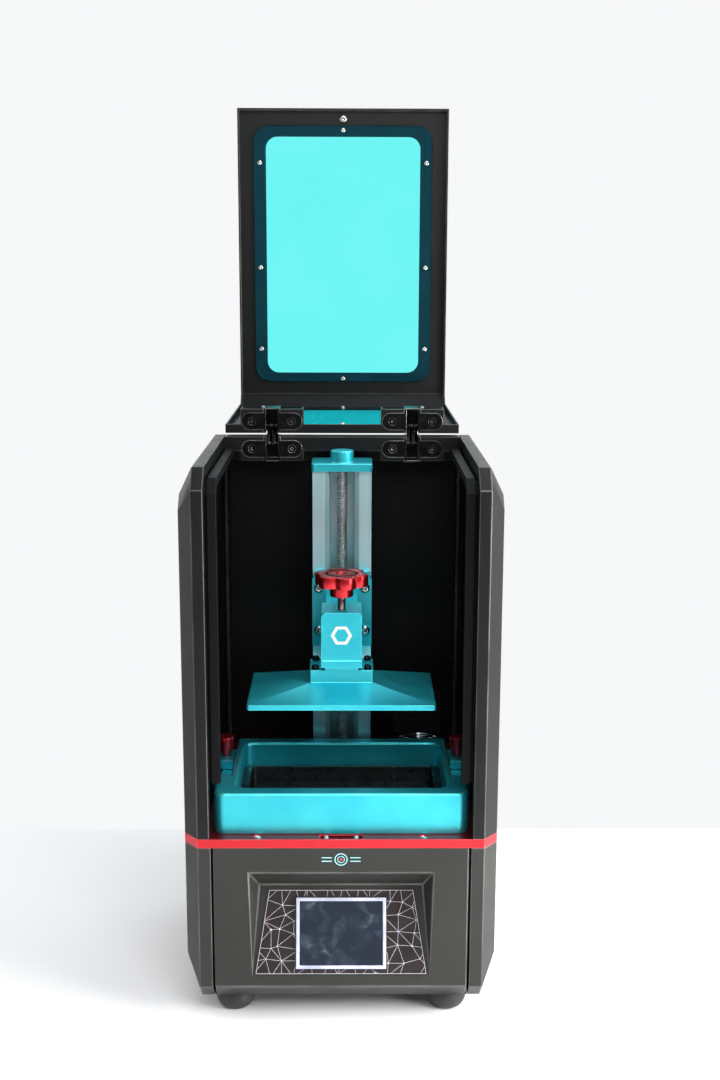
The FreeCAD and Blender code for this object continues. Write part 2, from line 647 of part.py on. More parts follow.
def body_arm():
    """Arm that turns on the body leaf and carries the cross pin."""
    reach = 1.5 * FINGER_PITCH + FINGER / 2
    pin = rod(PIN_RADIUS, 2 * reach, (-reach, 0, HINGE_Z - 2 * PIVOT_DROP), (1, 0, 0))
    return fuse(swing_arm(0), pin)


def lid_arm():
    """Arm that turns on the lid leaf, a mirror image of the body's arm about the closing plane."""
    return swing_arm(1).cut(cross_pin_bore()).mirror(Vector(0, 0, 0), Vector(0, 1, 0))


def open_about_pivot(shape, pivot_y):
    """Turn an arm half a turn with the lid, about its own fixed pivot."""
    turned = shape.copy()
    turned.rotate(Vector(0, pivot_y, HINGE_Z - PIVOT_DROP), Vector(1, 0, 0), 180)
    return turned


def lid_arm_opened(shape):
    """The lid's arm keeps its attitude while its pivot is carried round by the lid."""
    return placed(shape, 0, 2 * PIVOT_DEPTH, 2 * PIVOT_DROP)


def pair(shape):
    return group([placed(shape, x, 0, 0) for x in (-HINGE_X, HINGE_X)])


def leaf_screws():
    screw = socket_screw(2.9, 1.3, 1.6, 0.6, 2.0)
    at = [x + side for x in (-HINGE_X, HINGE_X) for side in (-LEAF_SCREW_X, LEAF_SCREW_X)]
    return at, screw


def fixed_leaf_screws():
    at, screw = leaf_screws()
    return group([facing_front(screw, x, LEAF_GAP + SCREW_SINK, LEAF_Z) for x in at])


# ---------------------------------------------------------------- lid, drawn closed
def lid_solid(inset):
    """Side profile of the lid, pushed across its width, with its inner side open."""
    slope = bevel_legs(SLOPE_TOP, SLOPE_TOP, inset)
    y0, z1 = FRONT + inset, LID_TOP - inset
    half = LID_HALF - inset
    outline = [(-half, y0, LID_BOTTOM + inset), (-half, y0, z1 - slope[1]), (-half, y0 + slope[0], z1),
               (-half, -LEAF_GAP - inset, z1), (-half, -LEAF_GAP - inset, LID_TOP - LID_FLANGE),
               (-half, FRONT + SLOPE_TOP, LID_TOP - LID_FLANGE),
               (-half, FRONT + LID_FLANGE, LID_TOP - SLOPE_TOP),
               (-half, FRONT + LID_FLANGE, LID_BOTTOM + inset)]
    return prism(outline, (2 * half, 0, 0))


def lid_shell():
    """Bent sheet lid: front panel, sloping shoulder and top panel with a flange all round."""
    shell = lid_solid(0).cut(lid_solid(LID_SHEET).fuse(lid_interior()))
    shell = shell.cut(upright_rounded_box(-WINDOW_HALF, WINDOW_HALF, FRONT - 1, FRONT + 5,
                                          WINDOW_LOW, WINDOW_HIGH, 10))
    shell = shell.cut(rounded_box(-WINDOW_HALF, WINDOW_HALF, ROOF_FRONT, ROOF_REAR,
                                  LID_TOP - 5, LID_TOP + 1, 10))
    for x in (-HINGE_X, HINGE_X):
        mount = placed(hinge_tab_on_lid(), x, 0, 0)
        gap = box(x - CUP_HALF, x + CUP_HALF, -POCKET_DEPTH - 2.0, 5, 370, FAR)
        recess = placed(mirrored_y(leaf_outline(-1, LEAF_GAP + LEAF_SHEET, 0.05)), x, 0, 0)
        shell = fuse(shell, mount).cut(gap).cut(recess)
    for x, z in FRONT_SCREWS + [(0.0, LATCH_Z)]:
        shell = shell.cut(rod(1.1, 10, (x, FRONT - 1, z), (0, 1, 0)))
    for x, y in ROOF_SCREWS:
        shell = shell.cut(rod(1.1, 10, (x, y, LID_TOP - 5), (0, 0, 1)))
    return shell


def lid_interior():
    """Space inside the lid's flanges, down to beyond their edges."""
    half = LID_HALF - LID_SHEET
    low = box(-half, half, FRONT + LID_SHEET + SLOPE_TOP, -LEAF_GAP - LID_SHEET,
              LID_TOP - LID_FLANGE - 1, LID_TOP - LID_SHEET)
    return low


def mirrored_y(shape):
    return shape.mirror(Vector(0, 0, 0), Vector(0, 1, 0))


def hinge_tab_on_lid():
    """Bracket inside the lid's rear flange, the mirror image of the one on the beam."""
    tab = hinge_tab()
    return mirrored_y(tab)


def front_window():
    """Tinted plate behind the front panel's opening."""
    half = WINDOW_HALF + WINDOW_MARGIN
    y0 = FRONT + LID_SHEET
    plate = upright_rounded_box(-half, half, y0, y0 + WINDOW_SHEET,
                                WINDOW_LOW - 9.0, WINDOW_HIGH + 8.0, 13.5)
    for x, z in FRONT_SCREWS:
        plate = plate.cut(rod(1.1, 10, (x, FRONT, z), (0, 1, 0)))
    return plate


def top_window():
    """Tinted plate under the top panel's opening."""
    half = WINDOW_HALF + WINDOW_MARGIN
    z1 = LID_TOP - LID_SHEET
    plate = rounded_box(-half, half, ROOF_FRONT - 9, ROOF_REAR + 9, z1 - WINDOW_SHEET, z1, 13.5)
    for x, y in ROOF_SCREWS:
        plate = plate.cut(rod(1.1, 10, (x, y, z1 - 5), (0, 0, 1)))
    return plate


def lid_screws():
    """Window screws, whose heads are inside, and the larger screw of the catch."""
    small = socket_screw(2.2, 1.3, 1.0, 3.0, 1.6)
    large = socket_screw(3.4, 1.8, 1.0, 1.2, 2.5)
    screws = []
    for x, z in FRONT_SCREWS:
        screws.append(facing_rear(small, x, FRONT + LID_SHEET + WINDOW_SHEET, z))
    screws.append(facing_rear(large, 0.0, FRONT + LID_SHEET, LATCH_Z))
    for x, y in ROOF_SCREWS:
        turned = small.copy()
        turned.rotate(Vector(0, 0, 0), Vector(1, 0, 0), 180)
        screws.append(placed(turned, x, y, LID_TOP - LID_SHEET - WINDOW_SHEET))
    return group(screws)


def facing_rear(shape, x, y, z):
    turned = shape.copy()
    turned.rotate(Vector(0, 0, 0), Vector(1, 0, 0), -90)
    return placed(turned, x, y, z)


def lid_leaf_screws():
    at, screw = leaf_screws()
    return group([facing_rear(screw, x, -LEAF_GAP - SCREW_SINK, LEAF_Z) for x in at])


# ---------------------------------------------------------------- Z column
def z_column():
    """Aluminium channel extrusion that guides the carriage."""
    half = COLUMN_WIDTH / 2
    inner = CHANNEL_WIDTH / 2
    rear = COLUMN_FRONT + COLUMN_DEPTH
    lead_in = CHANNEL_LEAD_IN
    outline = [(-half, COLUMN_FRONT), (-inner - lead_in, COLUMN_FRONT), (-inner, COLUMN_FRONT + lead_in),
               (-inner, COLUMN_FRONT + CHANNEL_DEPTH), (inner, COLUMN_FRONT + CHANNEL_DEPTH),
               (inner, COLUMN_FRONT + lead_in), (inner + lead_in, COLUMN_FRONT), (half, COLUMN_FRONT),
               (half, rear), (-half, rear)]
    return prism([(x, y, DECK_TOP) for x, y in outline], (0, 0, COLUMN_TOP - DECK_TOP))


def column_cap():
    """Top plate of the column with the boss of the screw's upper bearing."""
    half = COLUMN_WIDTH / 2 + 0.5
    plate = rounded_box(-half, half, COLUMN_FRONT - 3, COLUMN_FRONT + COLUMN_DEPTH + 2,
                        COLUMN_TOP, COLUMN_TOP + 6.2, 2)
    cap = fuse(plate, rod(8.75, 15.2, (0, SCREW_Y, COLUMN_TOP), (0, 0, 1)))
    return cap.cut(rod(SCREW_RADIUS + 0.05, 12.0, (0, SCREW_Y, COLUMN_TOP - 1), (0, 0, 1)))


def linear_rail():
    """Profile rail on the back of the channel, with waisted sides."""
    rear = COLUMN_FRONT + CHANNEL_DEPTH
    rail = box(-RAIL_HALF, RAIL_HALF, rear - 6.5, rear, DECK_TOP + 6, COLUMN_TOP - 4)
    for side in (-1, 1):
        groove = rod(1.1, 300, (side * (RAIL_HALF + 0.5), rear - 4.0, DECK_TOP), (0, 0, 1))
        rail = rail.cut(groove)
    return rail


def rail_block():
    """Carriage block that runs on the rail without touching it."""
    rear = COLUMN_FRONT + CHANNEL_DEPTH
    block = box(-BLOCK_HALF, BLOCK_HALF, rear - 10, rear - 1.0, 258, 290)
    return block.cut(box(-RAIL_HALF - 0.3, RAIL_HALF + 0.3, rear - 6.8, rear + 1, 250, 300))


def lead_screw():
    """Lead screw from its coupling under the deck to the bearing in the cap."""
    return rod(SCREW_RADIUS, COLUMN_TOP + 10.0 - 112.0, (0, SCREW_Y, 112.0), (0, 0, 1))


def shaft_coupling():
    """Clamping coupling between the motor's shaft and the lead screw, with the shaft stub."""
    sleeve = rod(9.5, 28, (0, SCREW_Y, 98), (0, 0, 1))
    sleeve = sleeve.cut(rod(SCREW_RADIUS + 0.04, 20, (0, SCREW_Y, 112), (0, 0, 1)))
    for z in (104.0, 108.0, 116.0, 120.0):
        slit = rod(10, 0.8, (0, SCREW_Y, z), (0, 0, 1)).cut(rod(7.5, 0.8, (0, SCREW_Y, z), (0, 0, 1)))
        sleeve = sleeve.cut(slit)
    return fuse(sleeve, rod(2.5, 2.7, (0, SCREW_Y, 95.3), (0, 0, 1)))


# ---------------------------------------------------------------- carriage
def carriage_plate():
    """Plate that joins the rail block, the nut and the arm."""
    half = CARRIAGE_HALF
    top = CARRIAGE_TOP
    outline = [(-half, CARRIAGE_BOTTOM), (half, CARRIAGE_BOTTOM), (half, top - 6), (half - 1.5, top - 4.5),
               (half - 1.5, top), (-half + 1.5, top), (-half + 1.5, top - 4.5), (-half, top - 6)]
    plate = prism([(x, CARRIAGE_FRONT, z) for x, z in outline], (0, CARRIAGE_PLATE, 0))
    for x, z in CARRIAGE_SCREWS:
        plate = plate.cut(rod(2.1, 10, (x, CARRIAGE_FRONT - 1, z), (0, 1, 0)))
    return plate


def carriage_screws():
    screw = socket_screw(4.0, 2.6, 2.0, CARRIAGE_PLATE, 3.2)
    return group([facing_front(screw, x, CARRIAGE_FRONT, z) for x, z in CARRIAGE_SCREWS])


def lead_nut():
    """Brass nut block between the carriage plate and the rail block."""
    rear = COLUMN_FRONT + CHANNEL_DEPTH - 10
    nut = box(-8, 8, CARRIAGE_FRONT + CARRIAGE_PLATE, rear, 264, 284)
    return nut.cut(rod(SCREW_RADIUS + 0.06, 40, (0, SCREW_Y, 255), (0, 0, 1)))


def carriage_arm():
    """Bar that reaches forward from the carriage and holds the platform's saddle."""
    half = ARM_WIDTH / 2
    arm = box(-half, half, FRONT + 52, CARRIAGE_FRONT, ARM_BOTTOM, ARM_TOP)
    rib = prism([(-3, CARRIAGE_FRONT, ARM_BOTTOM), (-3, CARRIAGE_FRONT, ARM_BOTTOM - 12),
                 (-3, CARRIAGE_FRONT - 18, ARM_BOTTOM)], (6, 0, 0))
    return fuse(arm, rib).cut(rod(3.05, 12.4, (0, KNOB_Y, ARM_TOP - 12), (0, 0, 1)))


def platform_knob():
    """Star knob with six rounded lobes, collar and stud."""
    low, high = KNOB_LOW, KNOB_HIGH
    lobe_radius = 7.4
    pitch = KNOB_RADIUS - lobe_radius
    disc = rod(pitch + 3.0, high - low, (0, 0, low), (0, 0, 1))
    for i in range(6):
        angle = math.radians(60 * i - 76)
        x, y = pitch * math.cos(angle), pitch * math.sin(angle)
        disc = fuse(disc, rod(lobe_radius, high - low, (x, y, low), (0, 0, 1)))
    rims = [e for e in disc.Edges if e.BoundBox.ZMin > high - 0.01 or e.BoundBox.ZMax < low + 0.01]
    disc = disc.makeChamfer(0.8, rims)
    stud_low = ARM_TOP - 11.0
    knob = fuse(disc, rod(8.4, low - COLLAR_LOW, (0, 0, COLLAR_LOW), (0, 0, 1)))
    knob = fuse(knob, rod(3.0, COLLAR_LOW - stud_low, (0, 0, stud_low), (0, 0, 1)))
    return placed(knob, 0, KNOB_Y, 0)


# ---------------------------------------------------------------- platform
def build_platform():
    """Build platform: rimmed plate whose top rises in four slopes to a square neck."""
    half_x, half_y = PLATFORM_WIDTH / 2, PLATFORM_DEPTH / 2
    rim_top = PLATFORM_BOTTOM + PLATFORM_RIM
    rim = rounded_box(-half_x, half_x, PLATFORM_Y - half_y, PLATFORM_Y + half_y,
                      PLATFORM_BOTTOM, rim_top, 2)
    base = [(-half_x + 0.8, -half_y + 0.8), (half_x - 0.8, -half_y + 0.8),
            (half_x - 0.8, half_y - 0.8), (-half_x + 0.8, half_y - 0.8)]
    neck_x, neck_y = NECK_WIDTH / 2, NECK_DEPTH / 2
    crown = [(-neck_x, -neck_y), (neck_x, -neck_y), (neck_x, neck_y), (-neck_x, neck_y)]
    points = [(x, PLATFORM_Y + y, rim_top) for x, y in base]
    points += [(x, NECK_Y + y, NECK_BOTTOM) for x, y in crown]
    sides = [[i, (i + 1) % 4, 4 + (i + 1) % 4, 4 + i] for i in range(4)]
    slopes = polyhedron(points, [[0, 1, 2, 3], [4, 5, 6, 7]] + sides)
    neck = rounded_box(-neck_x, neck_x, NECK_Y - neck_y, NECK_Y + neck_y,
                       NECK_BOTTOM, NECK_TOP, 1.5)
    plate = fuse(rim, slopes, neck)
    for x, y in NECK_SCREWS:
        plate = plate.cut(rod(1.6, 6, (x, y, NECK_TOP - 5), (0, 0, 1)))
    return plate


def neck_screws():
    screw = socket_screw(2.8, 3.0, 1.5, 4.5, 2.5)
    return group([placed(screw, x, y, NECK_TOP) for x, y in NECK_SCREWS])


def platform_bracket():
    """Saddle that slips over the carriage arm, with a front plate and an open slot for the stud."""
    half = BRACKET_HALF
    cheek = ARM_WIDTH / 2 + 0.3
    plate_back = BRACKET_FRONT + 3.0
    front_top = BRACKET_TOP + 1.0
    rear = FRONT + 82.0
    chamfer = 2.5
    outline = [(-half, 250), (half, 250), (half, front_top - chamfer), (half - chamfer, front_top),
               (-half + chamfer, front_top), (-half, front_top - chamfer)]
    front = prism([(x, BRACKET_FRONT, z) for x, z in outline], (0, 3.0, 0))
    saddle = box(-half, half, plate_back, rear, 250, BRACKET_TOP)
    saddle = saddle.cut(box(-cheek, cheek, plate_back, rear + 1, 255.5, ARM_TOP + 0.3))
    pad = box(-12, 12, BRACKET_FRONT + 4, rear - 2, NECK_TOP, 250)
    slot = fuse(box(-3.7, 3.7, KNOB_Y, rear + 1, ARM_TOP, BRACKET_TOP + 1),
                rod(3.7, 6, (0, KNOB_Y, ARM_TOP), (0, 0, 1)))
    groove = box(-half - 1, half + 1, BRACKET_FRONT - 1, BRACKET_FRONT + 0.5, 255.2, 256.0)
    return fuse(front, saddle, pad).cut(slot).cut(groove)


# ---------------------------------------------------------------- vat
def vat_frame():
    """Machined vat wall: full width in front, stepped down to a ledge along both sides behind."""
    tub = rounded_box(-VAT_HALF, VAT_HALF, VAT_FRONT, VAT_REAR, DECK_TOP, VAT_TOP, 8)
    for side in (-1, 1):
        x0, x1 = sorted((side * VAT_REAR_HALF, side * (VAT_HALF + 1)))
        tub = tub.cut(box(x0, x1, LEDGE_START, VAT_REAR + 1, LEDGE_TOP, VAT_TOP + 1))
    tub = tub.cut(rounded_box(-VAT_INNER_HALF, VAT_INNER_HALF, VAT_INNER_FRONT, VAT_INNER_REAR,
                              DECK_TOP - 1, VAT_TOP + 1, 8))
    rim = 1.2
    top = [e for e in tub.Edges if e.BoundBox.ZMin > VAT_TOP - 0.01]
    return tub.makeChamfer(rim, top)


def film_frame():
    """Ring inside the vat's foot that clamps the film."""
    ring = rounded_box(-VAT_INNER_HALF + 0.1, VAT_INNER_HALF - 0.1, VAT_INNER_FRONT + 0.1,
                       VAT_INNER_REAR - 0.1, FILM_BOTTOM + 0.5, FILM_FRAME_TOP, 7.9)
    return ring.cut(rounded_box(-69, 69, PLATFORM_Y - 41, PLATFORM_Y + 41, 100, 200, 4))


def vat_film():
    """Clear release film stretched across the vat's foot."""
    return rounded_box(-VAT_INNER_HALF + 0.1, VAT_INNER_HALF - 0.1, VAT_INNER_FRONT + 0.1,
                       VAT_INNER_REAR - 0.1, FILM_BOTTOM, FILM_BOTTOM + 0.5, 7.9)


def vat_clamp():
    """Right-hand clamp: post beside the vat with an arm over its ledge."""
    y0, y1 = CLAMP_Y - 12, CLAMP_Y + 12
    low = LEDGE_TOP + 0.5
    clamp = fuse(box(90.5, 95.7, y0, y1, DECK_TOP, 168), box(81.0, 95.7, y0, y1, low, 168))
    return clamp.cut(rod(2.05, 20, (THUMB_X, CLAMP_Y, low - 5), (0, 0, 1)))


def thumb_screw():
    """Right-hand thumb screw: tapered knurled knob with a stem that ends above the ledge."""
    taper = Part.makeCone(4.6, 6.3, 12.7, Vector(THUMB_X, CLAMP_Y, 170.5))
    for i in range(12):
        angle = math.radians(30 * i)
        x, y = THUMB_X + 6.9 * math.cos(angle), CLAMP_Y + 6.9 * math.sin(angle)
        taper = taper.cut(rod(1.0, 20, (x, y, 168), (0, 0, 1)))
    stem = rod(2.0, 9.5, (THUMB_X, CLAMP_Y, LEDGE_TOP + 0.4), (0, 0, 1))
    return fuse(taper, stem)


# ---------------------------------------------------------------- filter fan
def filter_fan_frame():
    """Square fan housing on the deck, open above and below."""
    z0, z1 = DECK_TOP, DECK_TOP + 10
    frame = rounded_box(FAN_X - 20, FAN_X + 20, FAN_Y - 20, FAN_Y + 20, z0, z1, 3)
    frame = frame.cut(rod(18.5, 30, (FAN_X, FAN_Y, z0 - 5), (0, 0, 1)))
    hub = rod(9, 1.5, (FAN_X, FAN_Y, z0), (0, 0, 1))
    spokes = [box(FAN_X - 19, FAN_X + 19, FAN_Y - 1.2, FAN_Y + 1.2, z0, z0 + 1.5),
              box(FAN_X - 1.2, FAN_X + 1.2, FAN_Y - 19, FAN_Y + 19, z0, z0 + 1.5)]
    return fuse(frame, hub, *spokes)


def filter_fan_rotor():
    """Fan hub with seven slanted blades."""
    z0 = DECK_TOP + 2.0
    hub = rod(8.5, 7, (0, 0, z0), (0, 0, 1))
    blades = []
    for i in range(7):
        blade = box(7.5, 17.6, -0.7, 0.7, z0 + 0.6, z0 + 7.6)
        blade.rotate(Vector(0, 0, z0 + 3.6), Vector(1, 0, 0), 42)
        blade.rotate(Vector(0, 0, 0), Vector(0, 0, 1), 360.0 * i / 7)
        blades.append(blade)
    return placed(fuse(hub, *blades), FAN_X, FAN_Y, 0)


def fan_guard():
    """Finger guard: four rings joined by two crossed bars, standing on four legs."""
    z0, z1 = DECK_TOP + 11.6, DECK_TOP + 13.2
    wire = 0.8
    pieces = []
    for radius in (5.5, 10.0, 14.5, 19.0):
        ring = rod(radius + wire, z1 - z0, (FAN_X, FAN_Y, z0), (0, 0, 1))
        pieces.append(ring.cut(rod(radius - wire, z1 - z0, (FAN_X, FAN_Y, z0), (0, 0, 1))))
    reach = 22.6
    for angle in (45, 135):
        bar = box(FAN_X - reach, FAN_X + reach, FAN_Y - wire, FAN_Y + wire, z0, z1)
        bar.rotate(Vector(FAN_X, FAN_Y, 0), Vector(0, 0, 1), angle)
        pieces.append(bar)
    for i in range(4):
        angle = math.radians(45 + 90 * i)
        x, y = FAN_X + reach * math.cos(angle), FAN_Y + reach * math.sin(angle)
        pieces.append(rod(2.0, z1 - DECK_TOP - 10, (x, y, DECK_TOP + 10), (0, 0, 1)))
    return fuse(*pieces)


# ---------------------------------------------------------------- export
def main():
    os.makedirs("parts", exist_ok=True)

    save("base_tray", base_tray())
    save("front_panel", front_panel())
    save("screen_overlay", screen_overlay())
    save("screen_bezel", screen_bezel())
    save("touch_screen", touch_screen())
    save("right_base_cover", right_base_cover())
    save("left_base_cover", mirrored(base_side_cover()))
    save("rear_base_panel", rear_base_panel())
    save("deck_plate", deck_plate())
    save("deck_screws", deck_screws())
    save("door_catch", door_catch())
    save("mask_lcd", mask_lcd())
    save("feet", feet())

    save("lamp_reflector", lamp_reflector())
    save("lamp_board", lamp_board())
    save("lamp_heat_sink", lamp_heat_sink())
    save("z_motor", z_motor())
    save("mainboard", mainboard())
    save("ports", ports())
    save("switch_housing", switch_housing())
    save("power_rocker", power_rocker())

    save("right_side_cover", side_cover())
    save("left_side_cover", mirrored(side_cover()))
    save("right_lining", lining())
    save("left_lining", mirrored(lining()))
    save("rear_cover", rear_cover())
    save("rear_beam", rear_beam())
    save("body_hinge_leaves", pair(fixed_leaf()))
    save("body_leaf_screws", fixed_leaf_screws())
    save("body_hinge_arms", pair(open_about_pivot(body_arm(), PIVOT_DEPTH)))

    save("lid_shell", opened(lid_shell()))
    save("front_window", opened(front_window()))
    save("top_window", opened(top_window()))
    save("lid_screws", opened(lid_screws()))
    save("lid_hinge_leaves", opened(mirrored_y(pair(fixed_leaf()))))
    save("lid_leaf_screws", opened(lid_leaf_screws()))
    save("lid_hinge_arms", pair(lid_arm_opened(lid_arm())))

    save("z_column", z_column())
    save("column_cap", column_cap())
    save("linear_rail", linear_rail())
    save("lead_screw", lead_screw())
    save("shaft_coupling", shaft_coupling())

    save("carriage_plate", carriage_plate())
    save("carriage_screws", carriage_screws())
    save("rail_block", rail_block())
    save("lead_nut", lead_nut())
    save("carriage_arm", carriage_arm())
    save("platform_knob", platform_knob())
    save("build_platform", build_platform())
    save("neck_screws", neck_screws())
    save("platform_bracket", platform_bracket())

    save("vat_frame", vat_frame())
    save("film_frame", film_frame())
    save("vat_film", vat_film())
    save("vat_clamps", group([vat_clamp(), mirrored(vat_clamp())]))
    save("right_thumb_screw", thumb_screw())
    save("left_thumb_screw", mirrored(thumb_screw()))

    save("filter_fan_frame", filter_fan_frame())
    save("filter_fan_rotor", filter_fan_rotor())
    save("fan_guard", fan_guard())


main()
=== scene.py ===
"""Looks, light and camera for the resin printer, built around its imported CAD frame."""

import json
import math
import random

import bmesh
import bpy
from mathutils import Matrix, Vector
from mathutils.geometry import delaunay_2d_cdt


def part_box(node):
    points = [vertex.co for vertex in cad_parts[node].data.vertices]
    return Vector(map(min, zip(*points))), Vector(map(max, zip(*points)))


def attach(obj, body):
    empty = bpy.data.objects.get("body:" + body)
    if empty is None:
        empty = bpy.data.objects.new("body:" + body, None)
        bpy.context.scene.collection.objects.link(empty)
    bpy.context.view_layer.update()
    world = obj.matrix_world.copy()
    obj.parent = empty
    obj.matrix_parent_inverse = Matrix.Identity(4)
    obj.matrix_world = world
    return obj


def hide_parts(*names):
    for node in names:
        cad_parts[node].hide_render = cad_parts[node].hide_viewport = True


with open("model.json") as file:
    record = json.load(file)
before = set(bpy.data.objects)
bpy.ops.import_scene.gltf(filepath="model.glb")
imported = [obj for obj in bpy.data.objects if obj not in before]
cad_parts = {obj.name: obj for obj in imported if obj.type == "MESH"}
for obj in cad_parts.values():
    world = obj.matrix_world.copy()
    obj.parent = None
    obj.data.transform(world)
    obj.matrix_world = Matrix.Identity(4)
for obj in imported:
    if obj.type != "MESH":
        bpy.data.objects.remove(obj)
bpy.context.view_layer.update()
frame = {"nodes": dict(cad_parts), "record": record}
MM = 0.001

# ---------------------------------------------------------------- camera
CAMERA_PLACE = Vector((4.2, -1087.7, 538.8)) * MM
CAMERA_PITCH = 0.2003       # radians below the horizon
CAMERA_YAW = 0.0091
CAMERA_ROLL = 0.0031
CAMERA_LENS = 46.76         # with a 36 mm sensor along the picture's height

# ---------------------------------------------------------------- dimensions shared with the CAD, in mm
SCREEN_TILT = math.atan2(16.0, 62.0)
SCREEN_FOOT = (-172.0, 37.5)            # Y and Z of the line where the tilted screen plane starts
FOIL_FACE = 0.4                         # foil's thickness in front of that plane
SCREW_Y = -32.0
SCREW_LOW, SCREW_HIGH = 112.0, 388.8
GUARD_CENTRE = (62.0, -5.0, 152.4)
GUARD_RINGS = (5.5, 10.0, 14.5, 19.0)   # radii
GUARD_REACH = 22.6
GUARD_WIRE = 0.8                        # radius
FAN_TOP = 150.0
KNOB_Y = -108.0
KNOB_LEVELS = (307.2, 315.7)            # underside and top of the star
KNOB_RADIUS = 19.9
KNOB_LOBE = 7.4                         # radius of each of its lobes
KNOB_CORE = 15.5                        # radius of the round middle that fills between the lobes
KNOB_LOBES = 6
KNOB_FIRST_LOBE = math.radians(-76)     # where its first lobe points
COLLAR_LOW, COLLAR_RADIUS = 299.0, 8.4
STUD_LOW, STUD_RADIUS = 275.0, 3.0
SLOTS = (44.0, 80.0, 150.8, 183.2)      # X and Z limits of the fan's outlet slots
SLOTS_FACE = 26.0                       # inner face of the wall they are in
MASK_MIDDLE_Y = -103.0
DECK_TOP = 140.0
ROCKER_HEIGHTS = (54.9, 60.0, 65.1)     # foot, ridge and head of the rocker's face
ROCKER_DEPTHS = (28.6, 29.4, 30.8)      # Y of the face at those heights

RANGE_SOCKETS = ("From Min", "From Max", "To Min", "To Max")
# Turns the (x, up, out) of a flat drawing so that it faces forward, or backward for a mark at the rear.
FACING_FORWARD = Matrix(((1, 0, 0, 0), (0, 0, -1, 0), (0, 1, 0, 0), (0, 0, 0, 1)))
FACING_BACKWARD = Matrix(((-1, 0, 0, 0), (0, 0, 1, 0), (0, 1, 0, 0), (0, 0, 0, 1)))


# ---------------------------------------------------------------- finishes
class Finish:
    """One Principled material, with short calls for the nodes that vary it over the surface."""

    def __init__(self, name, colour, roughness, metallic=0.0):
        self.material = bpy.data.materials.new(name)
        self.material.use_nodes = True
        self.nodes = self.material.node_tree.nodes
        self.links = self.material.node_tree.links
        self.shader = self.nodes["Principled BSDF"]
        self.set("Base Color", (*colour, 1.0))
        self.set("Roughness", roughness)
        self.set("Metallic", metallic)

    def set(self, socket, value):
        """Give one of the shader's sockets a constant, or link a node's output to it."""
        if isinstance(value, bpy.types.NodeSocket):
            self.links.new(value, self.shader.inputs[socket])
        else:
            self.shader.inputs[socket].default_value = value

    def place(self, stretch=(1, 1, 1)):
        """Position on the surface, scaled along each axis."""
        coordinates = self.nodes.new("ShaderNodeTexCoord")
        mapping = self.nodes.new("ShaderNodeMapping")
        mapping.inputs["Scale"].default_value = stretch
        self.links.new(coordinates.outputs["Object"], mapping.inputs["Vector"])
        return mapping.outputs["Vector"]

    def noise(self, size, detail=3.0, stretch=(1, 1, 1), distortion=0.0):
        """Cloudy noise from 0 to 1 whose spots are about size millimetres across."""
        texture = self.nodes.new("ShaderNodeTexNoise")
        texture.inputs["Scale"].default_value = 1.0 / (size * MM)
        texture.inputs["Detail"].default_value = detail
        texture.inputs["Distortion"].default_value = distortion
        self.links.new(self.place(stretch), texture.inputs["Vector"])
        return texture.outputs["Fac"]

    def cells(self, size):
        """Distance to the nearest of many scattered points, about size millimetres apart."""
        texture = self.nodes.new("ShaderNodeTexVoronoi")
        texture.inputs["Scale"].default_value = 1.0 / (size * MM)
        self.links.new(self.place(), texture.inputs["Vector"])
        return texture.outputs["Distance"]

    def height(self, low, high):
        """0 below one height in millimetres, 1 above another, and smooth between them."""
        split = self.nodes.new("ShaderNodeSeparateXYZ")
        self.links.new(self.place(), split.inputs["Vector"])
        return self.spread(split.outputs["Z"], low * MM, high * MM)

    def spread(self, value, low, high, to_low=0.0, to_high=1.0):
        """Stretch the range from low to high of a value onto another range."""
        node = self.nodes.new("ShaderNodeMapRange")
        node.interpolation_type = "SMOOTHSTEP"
        self.links.new(value, node.inputs["Value"])
        for socket, number in zip(RANGE_SOCKETS, (low, high, to_low, to_high)):
            node.inputs[socket].default_value = number
        return node.outputs["Result"]

    def times(self, first, second):
        """Product of two node outputs."""
        node = self.nodes.new("ShaderNodeMath")
        node.operation = "MULTIPLY"
        for socket, value in zip(node.inputs, (first, second)):
            self.links.new(value, socket)
        return node.outputs["Value"]

    def mix(self, factor, first, second):
        """Blend of two colours, each a triple or another node's output."""
        node = self.nodes.new("ShaderNodeMix")
        node.data_type = "RGBA"
        self.links.new(factor, node.inputs["Factor"])
        inputs = [s for s in node.inputs if s.type == "RGBA"]
        for socket, colour in zip(inputs, (first, second)):
            if isinstance(colour, bpy.types.NodeSocket):
                self.links.new(colour, socket)
            else:
                socket.default_value = (*colour, 1.0)
        return next(s for s in node.outputs if s.type == "RGBA")

    def bump(self, height, depth, strength=1.0, after=None):
        """Bend the shading normal by a height of up to depth millimetres."""
        node = self.nodes.new("ShaderNodeBump")
        node.inputs["Distance"].default_value = depth * MM
        node.inputs["Strength"].default_value = strength
        self.links.new(height, node.inputs["Height"])
        if after is not None:
            self.links.new(after, node.inputs["Normal"])
        self.set("Normal", node.outputs["Normal"])
        return node.outputs["Normal"]


def scaled(colour, factor):
    """A darker or lighter copy of a colour."""
    return tuple(min(1.0, c * factor) for c in colour)


def powder_coat(name, colour, roughness=0.4, gloss=0.22):
    """Matt sprayed coat: fine orange peel, faint cloudy sheen and uneven handling marks."""
    coat = Finish(name, colour, roughness)
    clouds = coat.spread(coat.noise(45, 4), 0.3, 0.7)
    coat.set("Base Color", coat.mix(clouds, scaled(colour, 0.92), scaled(colour, 1.1)))
    smears = coat.noise(16, 5, distortion=0.6)
    coat.set("Roughness", coat.spread(smears, 0.25, 0.8, roughness - 0.03, roughness + 0.05))
    peel = coat.bump(coat.noise(1.1, 3), 0.04, 0.5)
    coat.bump(coat.cells(0.5), 0.015, 0.3, after=peel)
    coat.set("Specular IOR Level", gloss)
    return coat.material


